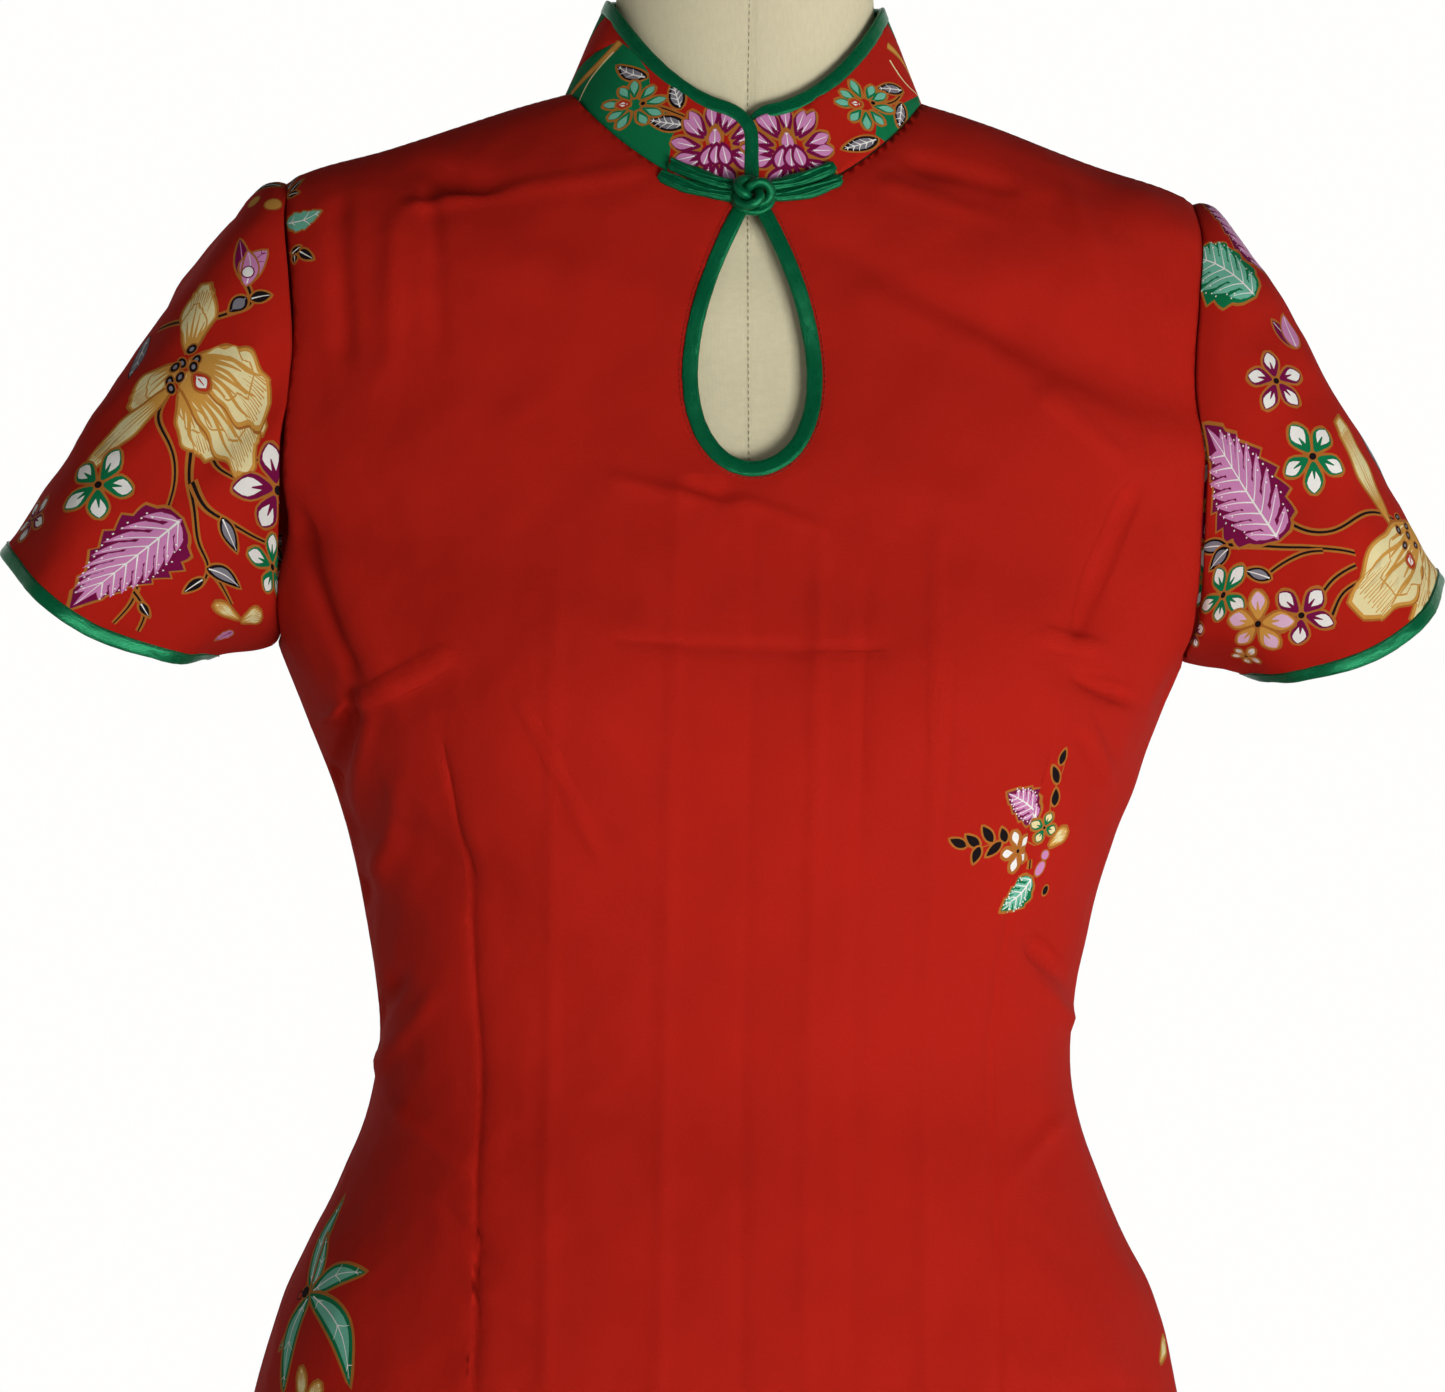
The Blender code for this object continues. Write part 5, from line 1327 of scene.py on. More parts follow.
def printFront(cloth):  # the few sprays by the armhole, under the bust and on the hip
    cloth.leaves(((-205, 1406, -200, 1412, 3.4), (-205, 1406, -200, 1407, 3.0),
                  (-206, 1408, -203, 1414, 3.2),
                  (-206, 1393, -191, 1399, 9.0, "teal", "gold", "white", -0.12, 4, 3)))
    cloth.stem([(-205, 1381), (-200, 1382), (-198, 1384)], 0.5, "gold", None, 0)
    cloth.leaves(((-200, 1381, -194, 1378, 4.0), (-203, 1381, -199, 1384, 3.2),
                  (-203, 1380, -203, 1377, 3.0)))
    cloth.stem([(117, 1126), (105, 1129), (94, 1126), (86, 1125)], 0.6, "gold", None, 0)
    cloth.leaves(((86, 1125, 79, 1128, 3.8), (92, 1126, 86, 1131, 3.8), (98, 1127, 93, 1134, 3.8),
                  (103, 1128, 101, 1134, 3.8), (93, 1126, 91, 1119, 3.8), (102, 1127, 96, 1121, 3.8)),
                 vein=None)
    batikLeaf(cloth, 118, 1137, 98, 1150, 13.5, 5, -0.06)
    cloth.stem([(113, 1116), (114, 1120)], 0.9)
    batikLeaf(cloth, 114, 1112, 101, 1098, 11.5, 4, 0.1, "green", "teal")
    cloth.flower(109, 1123, 8.6, 5, 36, band=None)
    cloth.flower(120, 1134, 7.0, 4, 60, fill="cream")
    cloth.stem([(123, 1139), (124, 1148), (128, 1159), (129, 1166)], 0.6, "gold", None, 0)
    cloth.leaves(((124, 1143, 124, 1150, 3.8), (126, 1152, 123, 1159, 3.8), (127, 1160, 129, 1167, 3.8)),
                 vein=None)
    bloomPetal(cloth, 122, 1126, 130, 1133, 6.5, 1.0, 2)
    cloth.dot(120, 1121, 2.0, "pink", "gold")
    cloth.dot(118, 1115, 2.2, "pink", "gold", 1.5, 50)
    cloth.dot(121, 1107, 1.6, "black", "gold", 1.3, 70)
    for x, z, wide, bend in ((-184, 973, 8.5, 0.10), (-190, 957, 5.5, -0.12), (-176, 945, 10.5, 0.10),
                             (-211, 909, 7.5, 0.10), (-210, 893, 10.5, -0.12), (-189, 899, 12.0, 0.16)):
        cloth.leaf(-196, 933, x, z, wide, "green", "gold", "white", bend, 0, 3, 1.2, "teal")
    cloth.dot(-198, 934, 2.6, "black", "gold")
    cloth.dot(-200, 932, 1.6, "brick", "black")
    bloom(cloth, ((-200, 883, -201, 900, 6, 1.0, 2), (-198, 881, -192, 895, 7, 1.0, 2),
                  (170, 904, 175, 913, 6, 1.0, 2)))


def printBack(cloth):  # like sprays at other places
    cloth.facing = "back"
    batikLeaf(cloth, 60, 1205, 84, 1222, 13.5, 5, -0.06)
    batikLeaf(cloth, 52, 1196, 40, 1180, 11.5, 4, 0.1, "green", "teal")
    cloth.stem([(58, 1200), (76, 1190), (92, 1176)], 0.9)
    cloth.flower(57, 1201, 8.6, 5, 36, band=None)
    for step in range(4):
        cloth.leaf(62 + 8 * step, 1197 - 5 * step, 72 + 8 * step, 1200 - 5 * step, 3.8, vein=None)
    cloth.leaf(-96, 930, -120, 972, 8.5, "teal", "gold", "green", 0.06, 0, 2)
    cloth.leaf(-94, 928, -72, 944, 10.5, "teal", "gold", "white", 0.0, 0, 3)
    cloth.leaf(-98, 926, -108, 886, 10.5, "teal", "gold", "green", -0.06, 0, 3)
    cloth.leaf(-95, 925, -88, 892, 11.5, "teal", "gold", "green", 0.12, 0, 3)
    cloth.dot(-96, 928, 2.6, "black", "gold")
    cloth.flower(130, 1330, 13, 5, 10, band="magenta")
    cloth.flower(-140, 1100, 12, 5, 40)


printFront(frontPrint)
printBack(backPrint)
frontShell = panelShell("front_panel_cloth", "front", frontPrint.marks)
backShell = panelShell("back_panel_cloth", "back", backPrint.marks)
print("front and back are sewn")


# Sleeves
sleeveShape = {
    "tip": (0.3105, 1.248),
    "under": (0.226, 1.204),
    "uneven": 0.004,
    "halfDepth": 0.055,
    "hemDrop": 0.014,
    "length": 0.185,
    "binding": 0.0065,
    "sink": 0.0007,
    "underarmSink": 0.0008,
    "underarmWidth": 0.0028,
    "rows": 56,
    "spacing": 0.0042,
    "plainSeam": ((-0.172, 0.0), (-0.092, 0.0), (-0.092, 0.0075), (-0.130, 0.0110), (-0.172, 0.0120)),
}

# ways in which the cloth heads: on top, under the arm, at the sides, and forward or backward
sleeveWays = {
    "seam": ((0.988, 0, -0.155), (0.80, 0, -0.60), (0, 0, -0.25), (0, -0.26, 0)),
    "hem": ((0.62, 0, -0.78), (0.88, 0, -0.47), (-0.25, 0, -0.2), (0, 0, 0)),
}

# turn, spread, rise, share_at_seam, share_at_hem
sleeveFolds = (
    (0, 42, 0.0036, 1.0, 0.0),
    (60, 16, 0.0030, 0.3, 1.0),
    (98, 18, -0.0028, 0.2, 1.0),
    (136, 15, 0.0030, 0.6, 0.8),
    (212, 17, -0.0030, 0.5, 0.9),
    (258, 18, 0.0030, 0.2, 1.0),
    (305, 17, -0.0030, 0.3, 1.0),
)


def hermite(start, startSlope, end, endSlope, t):
    return (
        (2 * t**3 - 3 * t**2 + 1) * start
        + (t**3 - 2 * t**2 + t) * startSlope
        + (3 * t**2 - 2 * t**3) * end
        + (t**3 - t**2) * endSlope
    )


def sleeveGrid(sign):  # even rows and turns of one sleeve, seam under the arm
    start = np.zeros((len(armhole), 3))
    for side in ("front", "back"):
        chosen = [k for k, spotOnHole in enumerate(armhole) if spotOnHole[0] == side]
        start[chosen] = clothPoint(side, [armhole[k][1] for k in chosen],
                                   [armhole[k][2] for k in chosen])[0]
    tip, under = np.array(sleeveShape["tip"]), np.array(sleeveShape["under"])
    tip = tip - (sign * sleeveShape["uneven"], 0)
    middle, half = (tip + under) / 2, (tip - under) / 2
    drop = np.array([half[1], -half[0]]) / np.linalg.norm(half) * sleeveShape["hemDrop"]
    cosine, sine = np.cos(armholeTurns)[:, None], np.sin(armholeTurns)[:, None]
    flat = middle + half * cosine + drop * sine**2
    end = np.column_stack([flat[:, 0], -sleeveShape["halfDepth"] * sine[:, 0], flat[:, 1]])
    top, low = (1 + cosine) / 2, (1 - cosine) / 2
    shares = np.hstack([top, low, np.abs(sine), sine])
    startWay, endWay = (unit(shares @ np.array(sleeveWays[end])) for end in ("seam", "hem"))
    reach = np.linalg.norm(end - start, axis=1, keepdims=True)
    startSlope = startWay * reach * (0.27 * top + 0.6 * low + 0.35 * np.abs(sine))
    rows = np.linspace(0, 1, sleeveShape["rows"])
    sheet = np.array([hermite(start, startSlope, end, endWay * reach * 0.95, t) for t in rows])
    around = np.roll(sheet, -1, axis=1) - np.roll(sheet, 1, axis=1)
    out = unit(np.cross(around, np.gradient(sheet, rows, axis=0)))
    centre = sheet.mean(axis=1, keepdims=True)
    out *= np.sign(np.sum(out * (sheet - centre), axis=(1, 2)))[:, None, None]
    degrees = np.degrees(armholeTurns)
    rise = np.zeros(sheet.shape[:2])
    for turn, spread, height, atSeam, atHem in sleeveFolds:
        off = (degrees - turn + 180) % 360 - 180
        share = (atSeam + (atHem - atSeam) * rows) * smoothStep(rows / 0.12)
        rise += height * share[:, None] * np.exp(-((off / spread) ** 2))[None, :]
    fade = smoothStep(rows / 0.15)[:, None]
    rise += (0.0011 * unevenness(sheet + sign * 3.1, 0.050, 11)
             + 0.0004 * unevenness(sheet + sign * 1.7, 0.020, 12)) * fade
    rise -= sleeveShape["sink"] * np.exp(-((rows / 0.02) ** 2))[:, None]
    sheet = (sheet + out * rise[..., None]) * np.array([sign, 1, 1])
    out = out * np.array([sign, 1, 1])
    # Turns run from under the arm in front, over the top, to under the arm behind.
    order = (np.arange(len(armhole) + 1) + len(armhole) // 2) % len(armhole)
    sheet, out = sheet[:, order], out[:, order]
    girth, length = runAlong(sheet[len(rows) // 2])[-1], runAlong(sheet[:, len(armhole) // 2])[-1]
    return {"points": sheet, "normals": out, "girth": girth, "length": length}


def gridPlace(grid):  # from flat distances round and down the sleeve to points and normals
    rows, turns = grid["points"].shape[:2]

    def place(u, v):
        column = np.clip(np.asarray(u) / grid["girth"] + 0.5, 0, 1) * (turns - 1)
        row = np.clip(np.asarray(v) / grid["length"], 0, 1) * (rows - 1)
        i = np.minimum(row.astype(int), rows - 2)
        j = np.minimum(column.astype(int), turns - 2)
        p, q = (row - i)[:, None], (column - j)[:, None]
        results = []
        for table in (grid["points"], grid["normals"]):
            upper = table[i, j] * (1 - q) + table[i, j + 1] * q
            lower = table[i + 1, j] * (1 - q) + table[i + 1, j + 1] * q
            results.append(upper * (1 - p) + lower * p)
        return results[0], unit(results[1])

    return place


def sleeveShell(name, sign, printers):
    grid = sleeveGrid(sign)
    place = gridPlace(grid)
    half, length = grid["girth"] / 2, grid["length"]
    last = length * (1 - sleeveShape["binding"] * 0.6 / sleeveShape["length"])
    surface = surfaceFinder(place, np.linspace(-half, half, 300), np.linspace(0, last, 90))
    cloth = Print(surface)
    printers[0](cloth)
    cloth.facing = "back"
    printers[1](cloth)
    cloth.marks.append(("red", np.array(sleeveShape["plainSeam"])))  # out of sight in the seam
    count = 110
    low = np.column_stack([np.linspace(-half, half, count), np.zeros(count)])
    side = np.column_stack([np.full(34, half), np.linspace(0, last, 36)[1:-1]])
    top = np.column_stack([np.linspace(half, -half, count), np.full(count, last)])
    outline = np.concatenate([low, side, top, (side * (-1, 1))[::-1]])
    flat, triangles, colour = inkedMesh(outline, lambda v: sleeveShape["spacing"], [], cloth.marks)
    points, normals = place(flat[:, 0], flat[:, 1])
    beside = (half - np.abs(flat[:, 0])) / sleeveShape["underarmWidth"]
    underarm = np.exp(-(beside**2)) * sleeveShape["underarmSink"]
    points = points - normals * underarm[:, None]
    triangles = facedOut(points, triangles, normals)
    piece = addPiece(name + "_cloth", points, triangles, cotton, (name,),
                     flat, colour, 0)
    thicken(reshaped(piece, joinTouching), clothShape["thick"])
    sleeveBinding(name.replace("sleeve", "sleeve_binding"), grid)
    return piece


def sleeveBinding(name, grid):  # the satin strip folded over the edge, with its stitches
    edge, before = grid["points"][-1, :-1], grid["points"][-4, :-1]
    out = grid["normals"][-1, :-1]
    down = unit(edge - before)
    centre = edge - down * sleeveShape["binding"] / 2 - out * clothShape["thick"] / 2
    strip = stripMesh(centre, down, out, sleeveShape["binding"], bindingShape["thick"], True,
                      bindingShape["sides"], bindingShape["flatness"], bindingShape["ripple"], 21)
    sweptPiece(name + "_satin", strip, satin, (name,))
    line = centre - down * (sleeveShape["binding"] / 2 - 0.0009) + out * 0.00098
    line = np.concatenate([line, line[:1]])
    row = stitches(line, np.concatenate([out, out[:1]]), *threadSizes["sleeve"])
    sweptPiece(name + "_stitches", row, greenThread)


def printSleeveRight(cloth):  # the wearer's right sleeve, at the left of the photo
    cloth.leaf(-207, 1409, -222, 1408, 4.5)
    cloth.dot(-220, 1403, 3.0, "ochre", "gold")
    cloth.dot(-211, 1402, 3.4, "ochre", "gold")
    cloth.dot(-213, 1413, 2.4, "ochre", "gold", 1.6)
    cloth.leaf(-265, 1345, -274, 1327, 8, "grey", "black", "white", 0, 0, 4, 0.5)
    cloth.stem([(-223, 1369), (-222, 1359), (-231, 1354), (-244, 1351), (-261, 1348)])
    cloth.leaves(((-223, 1368, -227, 1389, 6.5, "magenta", "gold", "pink"),
                  (-223, 1368, -214, 1383, 10.5, "pink", "gold", "magenta", 0.12, 0, 3),
                  (-223, 1367, -223, 1383, 7.0, "pink", "gold", "white", -0.1)))
    cloth.dot(-223, 1372, 2.4, "white", "magenta")
    cloth.leaf(-223, 1361, -230, 1355, 7.0, vein="grey", core="grey")
    cloth.leaf(-221, 1360, -212, 1363, 5.0)
    cloth.stems(([(-256, 1320), (-261, 1310), (-256, 1296), (-254, 1281), (-258, 1269)],
                 [(-246, 1298), (-247, 1283), (-245, 1268), (-243, 1255), (-240, 1246), (-242, 1238)],
                 [(-246, 1283), (-240, 1271), (-230, 1264), (-220, 1259), (-210, 1254)],
                 [(-239, 1298), (-235, 1289), (-227, 1284)],
                 [(-234, 1300), (-224, 1293), (-213, 1291)]))
    cloth.stems(([(-240, 1246), (-233, 1236), (-229, 1229)], [(-270, 1237), (-273, 1230), (-280, 1221)],
                 [(-271, 1235), (-267, 1227), (-270, 1218)]), width=0.9)
    cloth.leaf(-269, 1230, -266, 1224, 3.6)
    bloom(cloth, ((-248, 1338, -242, 1369, 17, 1.3, 4), (-252, 1332, -273, 1318, 19, 1.2, 4),
                  (-255, 1323, -291, 1296, 12.5, 1.6, 4), (-245, 1324, -206, 1318, 17, 2.0, 4),
                  (-250, 1323, -236, 1297, 24, 2.2, 5), (-251, 1327, -211, 1307, 34, 2.6, 6),
                  (-247, 1333, -209, 1329, 31, 2.4, 6)))
    seeds(cloth, [(-247, 1339), (-245, 1335), (-246, 1331), (-250, 1334), (-253, 1332), (-252, 1327),
                  (-256, 1326), (-256, 1322)])
    heart(cloth, -245, 1328, -50, 5.0)
    cloth.flower(-287, 1281, 16.5, 5, -13)
    cloth.flower(-315, 1266, 12, 5, 10, band="magenta")
    batikLeaf(cloth, -250, 1266, -293, 1239, 30)
    cloth.leaf(-234, 1267, -227, 1252, 6.5, core="grey")
    cloth.leaf(-240, 1245, -224, 1240, 7.0, bend=0.05, core="grey")
    cloth.leaf(-241, 1240, -249, 1234, 4.5)
    cloth.flower(-209, 1278, 21, 5, 30, band="magenta")
    cloth.flower(-212, 1246, 15, 5, 20)
    bloom(cloth, ((-226, 1223, -238, 1227, 6, 1.0, 2), (-225, 1222, -212, 1229, 10, 1.0, 2)))
    cloth.leaf(-229, 1218, -240, 1212, 6.5, "pink", "gold", "magenta", 0, 3, 2)


def printSleeveLeft(cloth):  # the wearer's left sleeve, at the right of the photo
    batikLeaf(cloth, 217, 1372, 188, 1408, 24, 6, 0.03)
    batikLeaf(cloth, 211, 1362, 180, 1394, 27, 5, 0.0, "green", "teal")
    cloth.leaf(228, 1340, 218, 1353, 7.0, "magenta")
    cloth.leaf(229, 1340, 225, 1355, 9.0, "pink")
    cloth.flower(220, 1326, 13.5, 5, 30, band="magenta")
    cloth.flower(235, 1293, 15.5, 5, 60)
    cloth.stems(([(223, 1267), (232, 1262), (245, 1262), (257, 1268), (270, 1266)],
                 [(198, 1255), (224, 1254), (254, 1251)], [(215, 1241), (229, 1250), (240, 1252)],
                 [(238, 1232), (244, 1240), (254, 1246)], [(244, 1224), (248, 1234), (255, 1239)]))
    batikLeaf(cloth, 221, 1257, 193, 1308, 30)
    cloth.leaves(((199, 1255, 181, 1259, 6.0), (200, 1254, 189, 1247, 7.5), (218, 1241, 206, 1246, 5.5)),
                 core="grey")
    cloth.leaf(256, 1304, 270, 1281, 11, "grey", "black", "white", 0, 0, 5)
    cloth.flower(197, 1233, 14, 5, 45)
    cloth.flower(184, 1218, 11.5, 5, 15, band="magenta")
    cloth.flower(231, 1225, 14, 5, 60, band="magenta")
    cloth.flower(212, 1221, 14.5, 5, 20, band="ochre", fill="palePink")
    cloth.flower(207, 1207, 9, 5, 70, band="ochre")
    bloom(cloth, ((269, 1265, 247, 1308, 12, 1.6, 4), (275, 1255, 292, 1240, 17, 1.4, 4),
                  (277, 1258, 282, 1218, 30, 2.2, 5), (279, 1262, 254, 1226, 38, 2.4, 6)))
    seeds(cloth, [(272, 1267), (275, 1263), (277, 1259), (273, 1261), (280, 1255), (276, 1255)], 1.5)
    heart(cloth, 277, 1252, -80, 4.0)


sleeveRight = sleeveShell("sleeve_right", -1, (printSleeveRight, printSleeveLeft))
sleeveLeft = sleeveShell("sleeve_left", 1, (printSleeveLeft, printSleeveRight))
print("sleeves are set in")


# Collar
collarShape = {
    "top": (1.4900, 0.0596, 0.0495, 0.0450, 2.05, 0.0465, -0.0080),
    "tall": 0.040,
    "corner": 0.012,
    "leftCorner": 0.009,
    "binding": 0.0062,
    "ripple": 0.00007,
    "thick": 0.0016,
    "spacing": 0.0034,
}


def collarPoint(angle, rise):
    base = ringPoint(sectionAt(dress, runTop), angle)
    top = ringPoint(np.array(collarShape["top"]), angle)
    return base + (top - base) * np.asarray(rise)[..., None]


def collarFrame(angle, rise):
    step = 0.01
    around = collarPoint(angle + step, rise) - collarPoint(angle - step, rise)
    up = collarPoint(angle, rise + step) - collarPoint(angle, rise - step)
    tall = np.linalg.norm(up, axis=-1) / (2 * step)
    cross = np.cross(unit(around), unit(up))
    return unit(cross), unit(up), tall, np.linalg.norm(cross, axis=-1)


collarAngles = np.linspace(0, math.pi, 400)
collarLevels = np.linspace(0, 1, 9)
collarLengths = []
for level in collarLevels:
    ring = collarPoint(collarAngles, np.full(400, level))
    collarLengths.append(runAlong(ring))


def collarAngle(distance, rise):  # at a distance from the centre front, on the wearer's left
    levels = np.array([np.interp(distance, length, collarAngles) for length in collarLengths])
    row = np.clip(rise, 0, 1) * (len(collarLevels) - 1)
    i = np.minimum(row.astype(int), len(collarLevels) - 2)
    columns = np.arange(len(distance))
    return levels[i, columns] * (1 - row + i) + levels[i + 1, columns] * (row - i)


def collarTopEdge(distance, inset, corner):  # rise of a line below the top edge, rounded in front
    angle = collarAngle(distance, np.ones(len(distance)))
    _, _, tall, slant = collarFrame(angle, np.full(len(angle), 0.9))
    short = np.clip(corner - distance, 0, corner)
    drop = corner - np.sqrt(np.maximum(corner**2 - short**2, 0))
    return 1 - (drop + inset / slant) / tall


def collarPlace(u, v):  # points and normals from flat distances round it and up it
    distance, rise = np.abs(u), np.clip(v / collarShape["tall"], 0, 1.02)
    angle = collarAngle(distance, rise)
    out = collarFrame(angle, rise)[0]
    points = collarPoint(angle, rise)
    ripple = 0.00035 * unevenness(points, 0.030, 31)
    points = points + out * ripple[:, None]
    mirror = np.column_stack([np.where(u < 0, -1.0, 1.0), np.ones(len(points)), np.ones(len(points))])
    return points * mirror, out * mirror


def tealFlower(cloth, x, z, radius, turn):
    cloth.flower(x, z, radius, 9, turn, "gold", "green", "teal", None, 1.15, 0.30, False)
    heart(cloth, x - 1.5, z, 180, 3.0)
    cloth.dot(x + 3.2, z + 0.4, 1.0, "black", "gold")


def printCollar(cloth):  # green and red ground, half daisies in front, small teal flowers at the sides
    cloth.patch("green", [(-88, 1445), (-82, 1459), (-68, 1478), (-61, 1472), (-55, 1463), (-52, 1450),
                          (-44, 1442), (-37, 1439), (-42, 1432), (-42, 1415), (-62, 1425), (-82, 1437)])
    cloth.patch("green", [(51, 1445), (58, 1445), (69, 1449), (71, 1441), (53, 1427), (48, 1432)])
    edges = ([(-68, 1477), (-76, 1463), (-84, 1448)], [(-70, 1472), (-77, 1457), (-80, 1446)],
             [(55, 1474), (61, 1461), (68, 1446)], [(57, 1467), (63, 1453), (67, 1445)])
    for wide, narrow in zip(edges[::2], edges[1::2]):
        cloth.stem(wide, 2.6, "ochre", "gold", 0.9)
        cloth.stem(narrow, 0.9, "cream", None, 0)
    cloth.stem([(-54, 1447), (-47, 1445), (-38, 1441)], 0.8)
    cloth.leaf(-55, 1461, -68, 1467, 6.5, bend=0.08, veins=4, core="grey")
    cloth.leaves(((-40, 1445, -45, 1458, 7.2), (-37, 1437, -54, 1439, 7.5)), veins=5, core="grey")
    tealFlower(cloth, -59, 1447, 12.5, 12)
    daisy(cloth, -22, 1426, 20.5, 15, 8)
    cloth.stem([(51, 1447), (57, 1447), (61, 1452)], 0.8)
    cloth.leaf(61, 1452, 52, 1455, 6.2, veins=3, core="grey")
    cloth.leaf(60, 1446, 58, 1434, 6.0, veins=4, core="grey")
    cloth.leaf(49, 1430, 35, 1425, 7.0, veins=5, core="grey")
    tealFlower(cloth, 46, 1447, 12.5, 30)
    daisy(cloth, 12, 1425, 21.0, 15, 22)
    cloth.facing = "back"
    cloth.patch("green", [(-70, 1450), (-64, 1505), (-30, 1505), (-18, 1450)])
    cloth.patch("green", [(22, 1450), (30, 1505), (64, 1505), (70, 1450)])
    for side in (-0.5, 0.5):
        daisy(cloth, side, 1472, 19, 15, 10)
    tealFlower(cloth, -36, 1478, 12, 12)
    tealFlower(cloth, 38, 1480, 12, 30)
    cloth.leaves(((-24, 1484, -12, 1492, 6.5), (22, 1466, 12, 1458, 6.5), (-52, 1470, -58, 1484, 6.5),
                  (52, 1474, 58, 1488, 6.5)), veins=4, core="grey")


def collarShell():
    girth, tall = collarLengths[0][-1], collarShape["tall"]
    start = collarShape["binding"] / 2
    distance = start + (girth - start) * np.linspace(0, 1, 120) ** 1.3
    share = (distance - start) / (girth - start)
    lengthsHere = np.array([length[-1] for length in collarLengths])
    outline = []
    for sign, corner in ((1, collarShape["leftCorner"]), (-1, collarShape["corner"])):
        topGirth = lengthsHere[-1]
        topDistance = start + (topGirth - start) * share
        rise = collarTopEdge(topDistance, collarShape["binding"] * 0.7, corner)
        outline.append(np.column_stack([sign * (start * 0.6 + distance - start), rise * tall]))
    foot = np.linspace(-girth, girth, 240)
    low = np.column_stack([foot, np.full(240, 0.0002)])
    outline = np.concatenate([low, outline[0][::-1], outline[1]])
    surface = surfaceFinder(collarPlace, np.linspace(-girth, girth, 500), np.linspace(0, tall, 40))
    cloth = Print(surface)
    printCollar(cloth)
    flat, triangles, colour = inkedMesh(outline, lambda v: collarShape["spacing"], [], cloth.marks)
    scaled = flat.copy()
    scaled[:, 0] *= np.interp(flat[:, 1] / tall, collarLevels, lengthsHere / girth)
    points, normals = collarPlace(scaled[:, 0], scaled[:, 1])
    triangles = facedOut(points, triangles, normals)
    piece = addPiece("collar_cloth", points, triangles, cotton, ("collar",),
                     flat, colour, 0)
    return thicken(reshaped(piece, joinTouching), collarShape["thick"])


def collarBinding():  # one strip: up the front, round the right corner, and round the neck
    half = collarShape["binding"] / 2
    girth = collarLengths[-1][-1]
    distance = girth * np.linspace(0, 1, 150) ** 1.4
    rightEdge = collarTopEdge(distance, half, collarShape["corner"])
    climb = np.linspace(0.004, rightEdge[0], 30)[:-1]
    rightRise = np.concatenate([climb, rightEdge])
    rightAngle = collarAngle(np.concatenate([np.zeros(len(climb)), distance]), rightRise)
    leftDistance = 0.0006 + (girth - 0.0006) * np.linspace(0, 1, 150) ** 1.4
    leftEdge = collarTopEdge(leftDistance, half, collarShape["leftCorner"])
    leftAngle = collarAngle(leftDistance, leftEdge)
    angle = np.concatenate([2 * math.pi - rightAngle, leftAngle[-2::-1]])
    rise = np.concatenate([rightRise, leftEdge[-2::-1]])
    out = collarFrame(angle, rise)[0]
    centre = collarPoint(angle, rise) - out * collarShape["thick"] / 2
    behind = np.where(angle < math.pi, np.exp(-((np.sin(angle) / 0.10) ** 2)), 0)
    centre = centre - out * (0.0014 * behind)[:, None]
    across, out = lineFrame(centre, out)
    strip = stripMesh(centre, across, out, collarShape["binding"], bindingShape["collarThick"], False,
                      bindingShape["sides"], bindingShape["flatness"], collarShape["ripple"], 22)
    sweptPiece("collar_binding_satin", strip, satin, ("collar_binding",))


collarPiece = collarShell()
collarBinding()
print("collar is on")


# Keyhole edge
def keyholeBinding():
    line = keyholeEdge(keyhole["binding"] / 2)
    line[0, 1] = 0.0015
    right = np.column_stack([line[:, 0], frontRunAt(line[:, 1])])
    whole = np.concatenate([right, mirrored(right[:-1])])
    centre, out = clothPoint("front", whole[:, 0], whole[:, 1], -0.0004)
    across, out = lineFrame(centre, out)
    strip = stripMesh(centre, across, out, keyhole["binding"], bindingShape["thick"], False,
                      bindingShape["sides"], bindingShape["flatness"], bindingShape["ripple"], 23)
    sweptPiece("keyhole_binding_satin", strip, satin, ("keyhole_binding",))
    rim = keyholeEdge(keyhole["binding"] + 0.0010)
    rim = np.column_stack([rim[:, 0], frontRunAt(rim[:, 1])])[3:]
    rim = np.concatenate([rim, mirrored(rim[:-1])])
    spots, normals = clothPoint("front", rim[:, 0], rim[:, 1], 0.0)
    row = stitches(spots, normals, *threadSizes["keyhole"])
    sweptPiece("keyhole_stitches", row, redThread)


keyholeBinding()
print("keyhole is bound")


# Frog closing
frogShape = {
    "start": 0.0085,
    "length": 0.0305,
    "width": 0.0128,
    "thick": 0.0036,
    "seat": 0.0005,
    "ring": 0.0049,
    "tube": 0.0019,
    "wave": 0.0022,
    "loop": 0.0086,
    "loopTall": 0.007396,
    "loopTurns": (158, 372),
    "loopLift": 0.0022,
    "loopCord": (0.0030, 0.0028),
    "knotLift": 0.0018,
    "knotAside": -0.0007,
}

# place_across, width, length, height: the folds one leg is pressed from, frayed at their ends
frogFolds = {
    -1: ((-0.26, 0.52, 1.00, 0.9), (-0.36, 0.15, 0.97, 1.12), (-0.15, 0.13, 0.99, 1.1),
         (0.26, 0.50, 0.96, 0.9), (0.17, 0.13, 0.94, 1.1), (0.36, 0.16, 0.98, 1.12)),
    1: ((-0.26, 0.50, 0.97, 0.9), (-0.35, 0.14, 0.95, 1.1), (-0.16, 0.15, 1.00, 1.12),
        (0.26, 0.52, 1.00, 0.9), (0.16, 0.15, 0.98, 1.1), (0.35, 0.14, 0.94, 1.12)),
}


